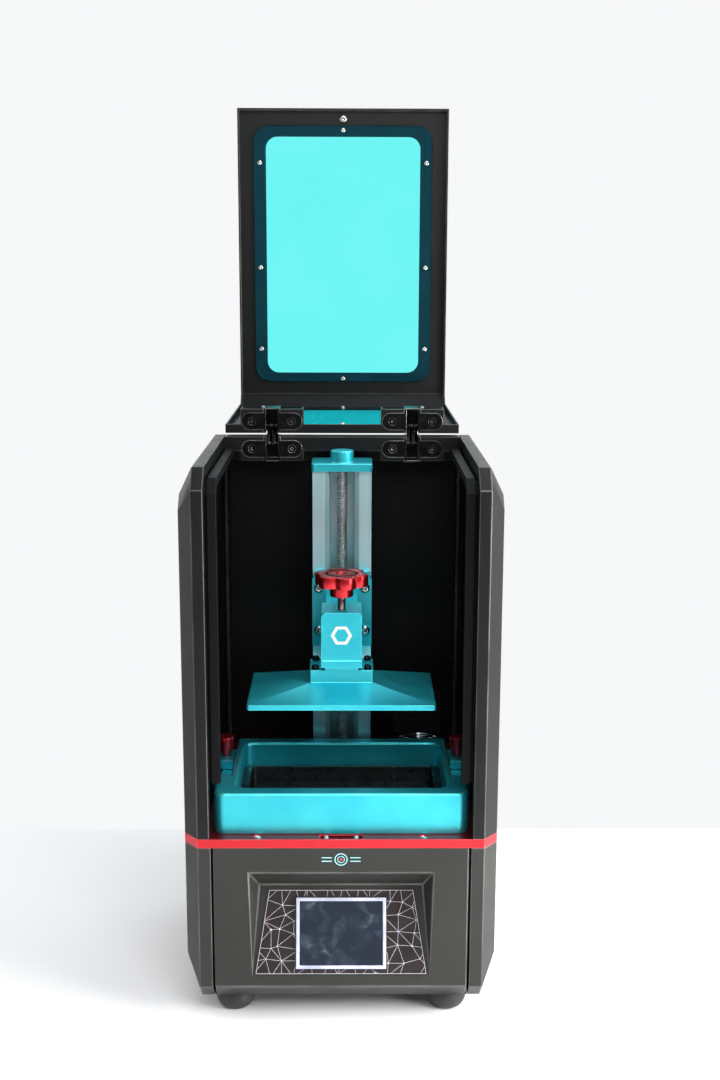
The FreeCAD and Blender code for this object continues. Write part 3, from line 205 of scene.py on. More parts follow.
def worn_edge(name, coat, bare, roughness, metallic, cover=0.5):
    """The thin band along a part's edges, where the coat is rubbed lighter in places."""
    edge = Finish(name, coat, roughness, metallic)
    rub = edge.spread(edge.noise(30, 4), cover - 0.22, cover + 0.22)
    edge.set("Base Color", edge.mix(rub, coat, bare))
    edge.set("Roughness", edge.spread(edge.noise(3, 3), 0.3, 0.7, roughness - 0.06, roughness + 0.12))
    return edge.material


def anodised(name, colour, deep, roughness=0.44, sheen=0.4, depth=0.85):
    """Dyed anodised aluminium: fine grain under a thin glassy layer, and slow colour drift.

    Sheen is the strength of that layer, and depth how metallic the dyed metal looks under it.
    """
    metal = Finish(name, colour, roughness, depth)
    drift = metal.spread(metal.noise(38, 3), 0.3, 0.7)
    metal.set("Base Color", metal.mix(drift, deep, colour))
    handling = metal.noise(14, 4, distortion=0.5)
    metal.set("Roughness", metal.spread(handling, 0.3, 0.75, roughness - 0.03, roughness + 0.06))
    metal.bump(metal.noise(0.35, 2), 0.004, 0.5)
    metal.set("Coat Weight", sheen)
    metal.set("Coat Roughness", 0.3)
    metal.set("Coat IOR", 1.6)
    return metal.material


def extruded(name, colour, roughness):
    """Extruded aluminium: fine lines and bands of gloss along its length."""
    metal = Finish(name, colour, roughness, 0.7)
    bands = metal.spread(metal.noise(3, 3, stretch=(1, 1, 0.004)), 0.3, 0.7)
    metal.set("Base Color", metal.mix(bands, scaled(colour, 0.94), colour))
    metal.set("Roughness", metal.spread(bands, 0.0, 1.0, roughness - 0.02, roughness + 0.03))
    metal.bump(metal.noise(0.6, 2, stretch=(1, 1, 0.01)), 0.003, 0.4)
    return metal.material


def plain_metal(name, colour, roughness, grain=(1, 1, 1), size=0.6):
    """Bare or plated metal with a directional grain and uneven gloss."""
    metal = Finish(name, colour, roughness, 1.0)
    drift = metal.spread(metal.noise(20, 4), 0.3, 0.7)
    metal.set("Base Color", metal.mix(drift, scaled(colour, 0.86), colour))
    gloss = metal.noise(6, 4)
    metal.set("Roughness", metal.spread(gloss, 0.3, 0.75, roughness * 0.8, roughness * 1.35))
    metal.bump(metal.noise(size, 2, stretch=grain), 0.008, 0.6)
    return metal.material


def moulded(name, colour, roughness=0.45, size=0.5):
    """Moulded plastic or rubber: fine spark-eroded grain and slight gloss variation."""
    plastic = Finish(name, colour, roughness)
    plastic.set("Base Color", plastic.mix(plastic.spread(plastic.noise(14, 4), 0.3, 0.7),
                                          scaled(colour, 0.82), scaled(colour, 1.2)))
    gloss = plastic.noise(7, 3)
    plastic.set("Roughness", plastic.spread(gloss, 0.3, 0.7, roughness - 0.05, roughness + 0.12))
    plastic.bump(plastic.noise(size, 2), 0.03, 0.4)
    return plastic.material


def tinted_acrylic(name, colour, deep, bend=1.5):
    """Clear tinted sheet that lets light through and looks navy where metal backs it."""
    sheet = Finish(name, colour, 0.0)
    sheet.set("Transmission Weight", 1.0)
    sheet.set("IOR", bend)
    sheet.set("Specular Tint", (0.16, 0.4, 0.95, 1.0))
    sheet.set("Base Color", sheet.mix(sheet.spread(sheet.noise(60, 3), 0.3, 0.7), deep, colour))
    sheet.set("Roughness", sheet.spread(sheet.noise(22, 5), 0.45, 0.85, 0.0, 0.03))
    return sheet.material


def release_film():
    """Thin clear film with faint clouding and rubbed marks."""
    film = Finish("release film", (0.5, 0.78, 0.82), 0.03)
    film.set("Transmission Weight", 1.0)
    film.set("IOR", 1.6)
    film.set("Roughness", film.spread(film.noise(18, 5, distortion=1.2), 0.4, 0.85, 0.01, 0.07))
    film.bump(film.noise(60, 1), 0.05, 0.15)
    return film.material


def foam(name, colour):
    """Open-celled foam: pitted all over, with no gloss."""
    block = Finish(name, colour, 0.95)
    pits = block.spread(block.cells(1.6), 0.1, 0.5)
    block.set("Base Color", block.mix(pits, scaled(colour, 0.4), colour))
    block.set("Specular IOR Level", 0.1)
    block.bump(pits, 0.6, 0.8)
    return block.material


def catch_finish():
    """Black catch whose two raised bumps are rubbed to bright steel."""
    black = (0.012, 0.012, 0.013)
    leaf = Finish("catch", black, 0.35, 0.6)
    raised = leaf.height(138.7, 139.0)
    worn = leaf.mix(leaf.spread(leaf.noise(2, 3), 0.3, 0.6), (0.5, 0.5, 0.49), (0.7, 0.7, 0.69))
    leaf.set("Base Color", leaf.mix(raised, black, worn))
    leaf.set("Roughness", leaf.spread(leaf.noise(4, 3), 0.3, 0.7, 0.25, 0.4))
    return leaf.material


def display_glass(name, colour, smudge):
    """Dark glossy glass with finger smudges that show as a paler, rougher haze."""
    glass = Finish(name, colour, 0.08)
    haze = glass.times(glass.spread(glass.noise(11, 6, distortion=1.0), 0.42, 0.78),
                       glass.spread(glass.noise(26, 2), 0.35, 0.65))
    glass.set("Base Color", glass.mix(haze, colour, smudge))
    glass.set("Roughness", glass.spread(haze, 0.0, 1.0, 0.07, 0.42))
    glass.set("Coat Weight", 0.4)
    glass.set("Coat Roughness", 0.05)
    glass.bump(glass.noise(1.6, 2), 0.004, 0.2)
    return glass.material


def printed(name, colour, speck):
    """Flat ink or foil with a very fine print grain."""
    ink = Finish(name, colour, 0.4)
    ink.set("Base Color", ink.mix(ink.spread(ink.noise(0.7, 4), 0.35, 0.65), colour, speck))
    ink.set("Roughness", ink.spread(ink.noise(9, 4), 0.3, 0.7, 0.3, 0.46))
    ink.bump(ink.noise(0.6, 2), 0.01, 0.3)
    return ink.material


BLACK = (0.0065, 0.0065, 0.0064)
PANEL = (0.026, 0.026, 0.023)
# Darker copy of the black coat for the chamber's inside: painted shade for its dim interior.
CHAMBER_WITH_PAINTED_SHADE = (0.0022, 0.0022, 0.0028)
CYAN = (0.035, 0.60, 0.68)
CYAN_DEEP = (0.018, 0.50, 0.62)
RED = (0.66, 0.014, 0.024)
RED_DEEP = (0.54, 0.009, 0.017)


def make_finishes():
    """Material of each slot in the record."""
    return {
        "black_coat": powder_coat("black powder coat", BLACK),
        "panel_coat": powder_coat("warm grey coat", PANEL, 0.4, 0.3),
        # Chamber finish: the black coat made darker and less glossy, as painted shade for the dim
        # chamber.
        "chamber_coat": powder_coat("chamber coat darkened as painted shade", CHAMBER_WITH_PAINTED_SHADE, 0.55, 0.15),
        "red_anodised": anodised("red anodised", RED, RED_DEEP, 0.32, 0.4, 0.95),
        "cyan_anodised": anodised("cyan anodised", CYAN, CYAN_DEEP),
        # The pale cyan tint on this bare aluminium is painted light: the cyan cast of light through the
        # tinted windows.
        "bare_aluminium": extruded("extruded aluminium with painted cyan light", (0.60, 0.86, 0.90), 0.34),
        "steel": plain_metal("bright steel", (0.6, 0.59, 0.57), 0.2),
        "black_steel": plain_metal("blackened steel", (0.02, 0.02, 0.022), 0.34, size=0.8),
        "chrome_wire": plain_metal("chromed wire", (0.82, 0.82, 0.83), 0.1),
        "brass": plain_metal("turned brass", (0.72, 0.52, 0.22), 0.25, (1, 1, 6)),
        "rubber": moulded("black rubber", (0.024, 0.024, 0.025), 0.5, 0.8),
        "cyan_window": tinted_acrylic("cyan acrylic", (0.18, 1.0, 1.0), (0.165, 0.985, 0.985)),
        "clear_film": release_film(),
        "screen_glass": display_glass("display glass", (0.016, 0.022, 0.036), (0.06, 0.08, 0.11)),
        "bezel_plastic": moulded("lavender plastic", (0.50, 0.52, 0.66), 0.35),
        "overlay_foil": printed("printed foil", (0.011, 0.007, 0.0072), (0.018, 0.011, 0.0108)),
        "black_plastic": moulded("black plastic", (0.008, 0.008, 0.009), 0.28),
        "circuit_board": moulded("circuit board", (0.015, 0.13, 0.05), 0.35),
        "lamp_white": moulded("white board", (0.75, 0.76, 0.74), 0.35),
    }


def make_node_finishes(finishes, edges):
    """Finish and edge finish of single nodes that look different from the rest of their slot."""
    # Mask glass tinted teal, its smudges too: painted reflection of the cyan vat walls in the film over
    # it.
    mask = display_glass("mask glass with painted teal reflection", (0.003, 0.032, 0.045), (0.006, 0.045, 0.058))
    roof = tinted_acrylic("cyan roof acrylic", (0.006, 0.90, 1.0), (0.005, 0.84, 0.97), 1.1)
    return {
        # The rear cover's slot is black coat; it gets the darker chamber copy as painted shade, on its
        # outside too.
        "rear_cover": (finishes["chamber_coat"], None),
        "left_base_cover": (finishes["panel_coat"], edges["panel_coat"]),
        "right_base_cover": (finishes["panel_coat"], edges["panel_coat"]),
        "mask_lcd": (mask, None),
        "top_window": (roof, None),
        "door_catch": (catch_finish(), None),
    }


def make_edges():
    """Material of the thin rounded edges, for the slots whose edges show wear."""
    return {
        "black_coat": worn_edge("rubbed black edge", (0.022, 0.021, 0.021), (0.085, 0.082, 0.08),
                                0.34, 0.2),
        "panel_coat": worn_edge("rubbed grey edge", (0.05, 0.05, 0.045), (0.11, 0.108, 0.1), 0.36, 0.1),
        "red_anodised": worn_edge("red edge", (0.76, 0.04, 0.05), (0.86, 0.16, 0.17), 0.34, 0.9, 0.55),
        "cyan_anodised": worn_edge("cyan edge", (0.07, 0.68, 0.75), (0.14, 0.78, 0.82), 0.36, 0.9),
        "black_steel": worn_edge("bright hinge edge", (0.05, 0.05, 0.05), (0.45, 0.45, 0.44), 0.25, 0.9),
    }


# ---------------------------------------------------------------- carried-over CAD nodes
EDGE_WIDTHS = {             # rounded edge of each node in mm; the others get the default
    "vat_frame": 0.7, "build_platform": 0.45, "platform_bracket": 0.4, "carriage_plate": 0.5,
    "carriage_arm": 0.5, "column_cap": 0.6, "deck_plate": 0.35,
    "right_side_cover": 0.6, "left_side_cover": 0.6, "right_base_cover": 0.6, "left_base_cover": 0.6,
    "front_panel": 1.1, "lid_shell": 0.35, "rear_beam": 0.4, "z_column": 0.3,
    "front_window": 0.0, "top_window": 0.0, "touch_screen": 0.3, "screen_bezel": 0.5,
    "feet": 0.8, "mask_lcd": 0.3,
}
DEFAULT_EDGE = 0.2
SHARP = math.radians(28)


def round_edges(thing, width):
    """Soften a CAD node's sharp edges with modifiers, so that they catch the light."""
    for polygon in thing.data.polygons:
        polygon.use_smooth = width > 0
    weld = thing.modifiers.new("join faces", "WELD")
    weld.merge_threshold = 0.001 * MM
    flat = thing.modifiers.new("whole flat faces", "DECIMATE")
    flat.decimate_type = "DISSOLVE"
    flat.angle_limit = math.radians(0.3)
    if width == 0:
        return
    bevel = thing.modifiers.new("round edges", "BEVEL")
    bevel.width = width * MM
    bevel.segments = 2
    bevel.limit_method = "ANGLE"
    bevel.angle_limit = SHARP
    bevel.use_clamp_overlap = False
    if len(thing.data.materials) > 1:
        bevel.material = 1
    normals = thing.modifiers.new("flat faces", "WEIGHTED_NORMAL")
    normals.weight = 80


def dress_nodes(finishes, node_finishes, edges):
    """Give each CAD node its finish and rounded edges."""
    for part in frame["record"]["subparts"]:
        thing = frame["nodes"][part["node"]]
        slot = part["material_slot"]
        finish, edge = node_finishes.get(part["node"], (finishes[slot], edges.get(slot)))
        thing.data.materials.clear()
        thing.data.materials.append(finish)
        if edge:
            thing.data.materials.append(edge)
        for polygon in thing.data.polygons:
            polygon.material_index = 0
        round_edges(thing, EDGE_WIDTHS.get(part["node"], DEFAULT_EDGE))


# ---------------------------------------------------------------- new pieces
def add_piece(name, shape, finish, body, replaced=(), smooth=True):
    """Turn a bmesh into a named object that rides on a body."""
    bmesh.ops.recalc_face_normals(shape, faces=shape.faces)
    mesh = bpy.data.meshes.new(name)
    shape.to_mesh(mesh)
    shape.free()
    thing = bpy.data.objects.new(name, mesh)
    bpy.context.scene.collection.objects.link(thing)
    mesh.materials.append(finish)
    if smooth:
        mesh.shade_smooth()
        mesh.set_sharp_from_angle(angle=math.radians(40))
    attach(thing, body)
    if replaced:
        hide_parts(*replaced)


def join_rings(shape, near, far):
    """Faces between two closed rings of equally many vertices."""
    count = len(near)
    for i in range(count):
        k = (i + 1) % count
        shape.faces.new((near[i], near[k], far[k], far[i]))


def lathe_rings(shape, rings, matrix=Matrix.Identity(4)):
    """Join rings of equally many points with faces, and close both ends."""
    made = [[shape.verts.new(matrix @ Vector(point)) for point in ring] for ring in rings]
    for near, far in zip(made, made[1:]):
        join_rings(shape, near, far)
    shape.faces.new(made[0][::-1])
    shape.faces.new(made[-1])


def loop_rings(shape, rings, matrix=Matrix.Identity(4)):
    """Join rings of equally many points with faces, and the last ring to the first."""
    made = [[shape.verts.new(matrix @ Vector(point)) for point in ring] for ring in rings]
    for near, far in zip(made, made[1:] + made[:1]):
        join_rings(shape, near, far)


def rectangle(x0, x1, y0, y1):
    """Corners of a rectangle, in order round it."""
    return ((x0, y0), (x1, y0), (x1, y1), (x0, y1))


def circle(radius, height, count=24):
    """Points on a level circle, counted from +X."""
    angles = [2 * math.pi * i / count for i in range(count)]
    return [(radius * math.cos(a), radius * math.sin(a), height) for a in angles]


def hexagon(across, height, count=24):
    """Points on a hexagon of a width across its flats, at the same angles as those of a circle."""
    points = []
    for i in range(count):
        angle = 2 * math.pi * i / count
        off_flat = (angle + math.pi / 6) % (math.pi / 3) - math.pi / 6
        reach = across / 2 / math.cos(off_flat)
        points.append((reach * math.cos(angle), reach * math.sin(angle), height))
    return points


def islands(node):
    """Box of each separate solid of a CAD node, as (lowest, highest) corners in metres."""
    source = bmesh.new()
    source.from_mesh(frame["nodes"][node].data)
    bmesh.ops.remove_doubles(source, verts=source.verts, dist=0.001 * MM)
    boxes, seen = [], set()
    for start in source.verts:
        if start in seen:
            continue
        group, waiting = [], [start]
        seen.add(start)
        while waiting:
            vertex = waiting.pop()
            group.append(vertex.co.copy())
            for edge in vertex.link_edges:
                other = edge.other_vert(vertex)
                if other not in seen:
                    seen.add(other)
                    waiting.append(other)
        boxes.append((Vector([min(p[i] for p in group) for i in range(3)]),
                      Vector([max(p[i] for p in group) for i in range(3)])))
    source.free()
    return boxes


def button_screw(shape, matrix, head_radius, head_height, socket, shank_radius, length):
    """Round-headed socket screw whose head's base is at the matrix's origin and faces its +Z."""
    r, h = head_radius, head_height
    rings = [circle(shank_radius, h - length), circle(shank_radius, 0), circle(r * 0.96, 0),
             circle(r, h * 0.16), circle(r * 0.97, h * 0.42), circle(r * 0.87, h * 0.72),
             circle(r * 0.72, h * 0.92), circle(max(r * 0.6, socket * 0.66), h),
             hexagon(socket * 1.06, h), hexagon(socket, h * 0.93), hexagon(socket, h * 0.3),
             circle(socket * 0.25, h * 0.18)]
    rings = [[tuple(c * MM for c in point) for point in ring] for ring in rings]
    lathe_rings(shape, rings, matrix)


def screw_set(name, node, facing, head, finish, body):
    """Replace a node's screws by rounder ones, made from the box of each.

    Facing maps a screw's box to the way its head looks, and head maps it to the head's sizes.
    """
    shape = bmesh.new()
    for low, high in islands(node):
        direction = Vector(facing(low, high))
        middle = (low + high) / 2
        half = (high - low) / 2
        length = 2 * abs(half.dot(direction))
        radius, height, socket, shank = head(low, high)
        base = middle + direction * (length / 2 - height * MM)
        matrix = Matrix.Translation(base) @ direction.to_track_quat("Z", "Y").to_matrix().to_4x4()
        button_screw(shape, matrix, radius, height, socket, shank, length / MM)
    add_piece(name, shape, finish, body, [node])


def make_screws(steel, dark):
    """All visible screws. A head is its radius and height, its socket's width and the shank's radius."""
    window_head = (2.2, 1.3, 1.6, 1.0)
    catch_head = (3.4, 1.8, 2.5, 1.0)

    def lid_facing(low, high):
        on_top_panel = high.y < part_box("front_window")[0].y - 2 * MM
        return (0, 0, 1) if on_top_panel else (0, -1, 0)

    def lid_head(low, high):
        return catch_head if high.x - low.x > 6 * MM else window_head

    def forward(low, high):
        return (0, -1, 0)

    def upward(low, high):
        return (0, 0, 1)

    screw_set("window_screw_heads", "lid_screws", lid_facing, lid_head, steel, "lid")
    screw_set("carriage_screw_heads", "carriage_screws", forward,
              lambda low, high: (4.0, 2.6, 3.2, 2.0), steel, "carriage")
    screw_set("neck_screw_heads", "neck_screws", upward,
              lambda low, high: (2.8, 3.0, 2.5, 1.5), dark, "platform")
    screw_set("deck_screw_heads", "deck_screws", upward,
              lambda low, high: (2.6, 1.15, 2.0, 1.5), steel, "base")


def threaded_rod(finish):
    """Lead screw with a real four-start trapezoidal thread, 8 mm of lead."""
    crest, root = 4.0, 2.9
    pitch, starts, count = 2.0, 4, 40
    profile = [(0.0, root), (0.26, crest), (0.56, crest), (0.82, root)]     # share of the pitch, radius
    lead = pitch * starts
    per_turn = starts * len(profile)
    low = SCREW_LOW - lead
    rows = int((SCREW_HIGH - low + lead) / pitch) * len(profile)
    shape = bmesh.new()
    grid = []
    for row in range(rows):
        share, radius = profile[row % len(profile)]
        start = low + pitch * (row // len(profile) + share)
        points = []
        for step in range(count):
            turn = step / count
            angle = 2 * math.pi * turn
            place = Vector((radius * math.cos(angle), SCREW_Y + radius * math.sin(angle),
                            start + lead * turn))
            points.append(shape.verts.new(place * MM))
        grid.append(points)
    for row in range(rows - per_turn - 1):
        for step in range(count):
            if step + 1 < count:
                near, far = grid[row][step + 1], grid[row + 1][step + 1]
            else:
                near, far = grid[row + per_turn][0], grid[row + per_turn + 1][0]
            shape.faces.new((grid[row][step], near, far, grid[row + 1][step]))
    for height, up in ((SCREW_LOW, -1), (SCREW_HIGH, 1)):
        whole = list(shape.verts) + list(shape.edges) + list(shape.faces)
        cut = bmesh.ops.bisect_plane(shape, geom=whole, plane_co=(0, 0, height * MM),
                                     plane_no=(0, 0, up), clear_outer=True)
        rim = [e for e in cut["geom_cut"] if isinstance(e, bmesh.types.BMEdge)]
        bmesh.ops.holes_fill(shape, edges=rim, sides=0)
    loose = [v for v in shape.verts if not v.link_faces]
    bmesh.ops.delete(shape, geom=loose, context="VERTS")
    add_piece("lead_screw_thread", shape, finish, "screw", ["lead_screw"])


def wire_ring(shape, centre, radius, wire, count=64, sides=10):
    """Closed round wire that lies level."""
    rings = []
    for i in range(count):
        angle = 2 * math.pi * i / count
        out = Vector((math.cos(angle), math.sin(angle), 0))
        ring = []
        for j in range(sides):
            around = 2 * math.pi * j / sides
            offset = out * (radius + wire * math.cos(around)) + Vector((0, 0, wire * math.sin(around)))
            ring.append((centre + offset) * MM)
        rings.append(ring)
    loop_rings(shape, rings)


def bent_wire(shape, points, wire, sides=10):
    """Open round wire through the given points."""
    spots = [Vector(p) for p in points]
    rings = []
    for i, spot in enumerate(spots):
        before = spots[max(i - 1, 0)]
        after = spots[min(i + 1, len(spots) - 1)]
        along = (after - before).normalized()
        turn = along.to_track_quat("Z", "Y").to_matrix()
        ring = []
        for j in range(sides):
            around = 2 * math.pi * j / sides
            offset = turn @ Vector((wire * math.cos(around), wire * math.sin(around), 0))
            ring.append((spot + offset) * MM)
        rings.append(ring)
    lathe_rings(shape, rings)


def guard_wires(finish):
    """Chromed finger guard: rings on two crossing wires whose ends bend down to the fan frame."""
    shape = bmesh.new()
    centre = Vector(GUARD_CENTRE)
    down = Vector((0, 0, FAN_TOP - centre.z))
    bend = 1.6
    for radius in GUARD_RINGS:
        wire_ring(shape, centre, radius, GUARD_WIRE * 0.95)
    for angle in (math.radians(45), math.radians(135)):
        out = Vector((math.cos(angle), math.sin(angle), 0))
        shoulder = centre + out * (GUARD_REACH - bend * 0.3) - Vector((0, 0, bend * 0.3))
        half = [centre + out * (GUARD_REACH - bend), shoulder,
                centre + out * GUARD_REACH - Vector((0, 0, bend)), centre + out * GUARD_REACH + down]
        other = [centre * 2 - p + Vector((0, 0, 2 * (p.z - centre.z))) for p in half]
        bent_wire(shape, other[::-1] + [centre] + half, GUARD_WIRE * 0.8)
    for i in range(4):
        angle = math.radians(45 + 90 * i)
        spot = centre + Vector((math.cos(angle), math.sin(angle), 0)) * GUARD_REACH
        foot = Matrix.Translation(Vector((spot.x, spot.y, FAN_TOP)) * MM)
        button_screw(shape, foot, 2.0, 1.0, 1.3, 0.9, 1.2)
    add_piece("fan_guard_wires", shape, finish, "base", ["fan_guard"])


def screen_matrix(raised):
    """Maps (x, up, out) in mm on the tilted screen plane to metres in the row frame."""
    foot = Matrix.Translation(Vector((0, SCREEN_FOOT[0], SCREEN_FOOT[1])) * MM)
    tilt = Matrix.Rotation(-SCREEN_TILT, 4, "X")
    lift = Matrix.Translation((0, 0, raised * MM))
    return foot @ tilt @ FACING_FORWARD @ lift @ Matrix.Scale(MM, 4)


def flat_bar(shape, matrix, start, end, width, thickness):
    """Thin straight bar between two points of a plane."""
    a, b = Vector(start), Vector(end)
    along = (b - a).normalized()
    across = Vector((-along.y, along.x)) * width / 2
    corners = [a - across, b - across, b + across, a + across]
    rings = [[(p.x, p.y, level) for p in corners] for level in (0, thickness)]
    lathe_rings(shape, rings, matrix)


def dot(shape, matrix, spot, radius, thickness):
    """Printed dot with a slightly sloping rim."""
    rings = [[(spot[0] + x, spot[1] + y, level) for x, y, _ in circle(size, 0, 12)]
             for size, level in ((radius, 0), (radius * 0.8, thickness))]
    lathe_rings(shape, rings, matrix)


FOIL_LOW, FOIL_HIGH = 0.4, 60.0         # along the tilted plane
FOIL_HALF_LOW, FOIL_HALF_HIGH = 61.0, 51.5
FOIL_OPENING = (32.2, 4.3, 54.7)        # half width, lower and upper edge
WINDOW_HALF_WIDTH, WINDOW_LOW, WINDOW_HIGH = 32.6, 4.0, 55.0


def foil_half(up):
    """Half width of the foil at a height along its plane."""
    share = (up - FOIL_LOW) / (FOIL_HIGH - FOIL_LOW)
    return FOIL_HALF_LOW + (FOIL_HALF_HIGH - FOIL_HALF_LOW) * share


def foil_sheet(finish):
    """Foil around the screen, narrower at its top than the CAD one."""
    half, low, high = FOIL_OPENING
    back = 0.02                         # just clear of the panel behind it
    outer = ((-FOIL_HALF_LOW, FOIL_LOW), (FOIL_HALF_LOW, FOIL_LOW),
             (FOIL_HALF_HIGH, FOIL_HIGH), (-FOIL_HALF_HIGH, FOIL_HIGH))
    inner = rectangle(-half, half, low, high)
    rings = [[(x, up, level) for x, up in outline]
             for outline, level in ((outer, back), (outer, FOIL_FACE), (inner, FOIL_FACE), (inner, back))]
    shape = bmesh.new()
    loop_rings(shape, rings, screen_matrix(0))
    add_piece("foil_sheet", shape, finish, "base", ["screen_overlay"], smooth=False)


def clipped(start, end):
    """The part of a line that lies on the foil, outside the screen's frame, or None."""
    steps = 60
    kept = []
    for i in range(steps + 1):
        x = start[0] + (end[0] - start[0]) * i / steps
        up = start[1] + (end[1] - start[1]) * i / steps
        in_foil = FOIL_LOW + 0.5 < up < FOIL_HIGH - 0.5 and abs(x) < foil_half(up) - 0.6
        in_window = abs(x) < WINDOW_HALF_WIDTH and WINDOW_LOW < up < WINDOW_HIGH
        if in_foil and not in_window:
            kept.append((x, up))
        elif kept:
            break
    return (kept[0], kept[-1]) if len(kept) > 3 else None


def network_print(finish):
    """White printed network on the foil: scattered knots joined by thin lines, with a thin border."""
    draw = random.Random(11)
    scatter, longest, dropped = 3.4, 20, 0.14
    knots = []
    for row in range(7):
        for column in range(13):
            x = (column - 6) * 10.6 + draw.uniform(-scatter, scatter)
            up = row * 10.4 - 1.5 + draw.uniform(-scatter, scatter)
            knots.append(Vector((x, up)))
    _, edges, _, _, _, _ = delaunay_2d_cdt(knots, [], [], 0, 0.001)
    matrix = screen_matrix(FOIL_FACE)
    shape = bmesh.new()
    used = set()
    for a, b in edges:
        if draw.random() < dropped or (knots[a] - knots[b]).length > longest:
            continue
        line = clipped(knots[a], knots[b])
        if line:
            flat_bar(shape, matrix, *line, 0.22, 0.05)
            used.update((a, b))
    for i in sorted(used):
        x, up = knots[i]
        outside = abs(x) > WINDOW_HALF_WIDTH + 1 or not WINDOW_LOW - 1 < up < WINDOW_HIGH + 1
        if outside and 1.2 < up < 58.8 and abs(x) < foil_half(up) - 1.4:
            dot(shape, matrix, (x, up), draw.uniform(0.4, 0.7), 0.07)
    low, high, margin = 0.9, 59.5, 0.5
    corners = [(-foil_half(low) + margin, low), (foil_half(low) - margin, low),
               (foil_half(high) - margin, high), (-foil_half(high) + margin, high)]
    for start, end in zip(corners, corners[1:] + corners[:1]):
        flat_bar(shape, matrix, start, end, 0.3, 0.05)
    add_piece("network_print", shape, finish, "base", smooth=False)


def front_matrix(y, z):
    """Maps (x, up, out) in mm on a plane that faces forward to metres in the row frame."""
    return Matrix.Translation((0, y, z)) @ FACING_FORWARD @ Matrix.Scale(MM, 4)


def flat_ring(shape, matrix, outer, inner, thickness, count=40):
    """Printed ring."""
    loop_rings(shape, [circle(outer, 0, count), circle(outer, thickness, count),
                       circle(inner, thickness, count), circle(inner, 0, count)], matrix)


def panel_symbol(pale, red):
    """Generic mark above the screen: two rings with a dot, and two short bars on each side."""
    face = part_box("front_panel")[0].y
    matrix = front_matrix(face, 125.2 * MM)
    shape = bmesh.new()
    flat_ring(shape, matrix, 4.6, 3.9, 0.08)
    flat_ring(shape, matrix, 2.6, 2.1, 0.08)
    for side in (-1, 1):
        for up in (-1.3, 1.3):
            flat_bar(shape, matrix, (side * 6.4, up), (side * 13.6, up), 0.7, 0.08)
    add_piece("panel_symbol", shape, pale, "base", smooth=False)
    centre = bmesh.new()
    dot(centre, matrix, (0, 0), 1.2, 0.1)
    add_piece("panel_symbol_dot", centre, red, "base", smooth=False)


def bracket_symbol(pale):
    """Generic mark on the saddle's front plate: a plain hexagon outline."""
    low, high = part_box("platform_bracket")
    matrix = front_matrix(low.y, low.z + (high.z - low.z) * 0.62)
    shape = bmesh.new()
    flat_ring(shape, matrix, 7.6, 5.2, 0.1, 6)
    add_piece("bracket_symbol", shape, pale, "platform", smooth=False)


def rocker_marks(pale):
    """Generic on and off marks on the power rocker: a ring above and a bar below."""
    low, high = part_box("power_rocker")
    middle = (low.x + high.x) / 2
    shape = bmesh.new()
    for half in (0, 1):
        rise = ROCKER_HEIGHTS[half + 1] - ROCKER_HEIGHTS[half]
        lean = math.atan2(ROCKER_DEPTHS[half + 1] - ROCKER_DEPTHS[half], rise)
        height = ROCKER_HEIGHTS[half] + rise / 2
        depth = (ROCKER_DEPTHS[half] + ROCKER_DEPTHS[half + 1]) / 2
        place = Matrix.Translation((middle, depth * MM, height * MM))
        matrix = place @ Matrix.Rotation(-lean, 4, "X") @ FACING_BACKWARD @ Matrix.Scale(MM, 4)
        if half:
            flat_ring(shape, matrix, 1.5, 1.1, 0.1, 24)
        else:
            flat_bar(shape, matrix, (0, -1.5), (0, 1.5), 0.45, 0.1)
    add_piece("rocker_marks", shape, pale, "rocker", smooth=False)


def star_ring(inset, height, per_lobe=20):
    """Outline of the lobed knob, moved inwards by the inset.

    A high power mean of the lobe's reach and the core's joins the two with a soft corner.
    """
    pitch = KNOB_RADIUS - KNOB_LOBE
    half_share = math.pi / KNOB_LOBES
    blend = 24
    count = KNOB_LOBES * per_lobe
    points = []
    for i in range(count):
        turn = 2 * math.pi * i / count
        off = (turn + half_share) % (2 * half_share) - half_share
        lobe = pitch * math.cos(off) + math.sqrt(max(KNOB_LOBE ** 2 - (pitch * math.sin(off)) ** 2, 0))
        reach = (lobe ** blend + KNOB_CORE ** blend) ** (1 / blend) * 0.985 - inset
        angle = turn + KNOB_FIRST_LOBE
        points.append((reach * math.cos(angle), reach * math.sin(angle), height))
    return points


def knob_matrix():
    """Maps mm round the knob's own axis to metres in the row frame."""
    return Matrix.Translation((0, KNOB_Y * MM, 0)) @ Matrix.Scale(MM, 4)


def star_knob(finish):
    """Rounded star knob with its collar: each profile is given as inset or radius, and height."""
    low, high = KNOB_LEVELS
    sides = len(star_ring(0, 0))
    collar = ((0.8, COLLAR_LOW), (0.2, COLLAR_LOW + 0.2), (0, COLLAR_LOW + 0.8),
              (0, low - 0.3), (-0.4, low))
    star = ((0.9, low), (0.3, low + 0.2), (0, low + 0.8),
            (0, high - 1.0), (0.25, high - 0.35), (1.0, high))
    recess = ((11.5, high), (11.2, high - 0.25), (4.2, high - 0.25), (3.8, high - 0.9))
    rings = [circle(COLLAR_RADIUS - inset, level, sides) for inset, level in collar]
    rings += [star_ring(inset, level) for inset, level in star]
    rings += [circle(radius, level, sides) for radius, level in recess]
    shape = bmesh.new()
    lathe_rings(shape, rings, knob_matrix())
    add_piece("star_knob", shape, finish, "knob", ["platform_knob"])


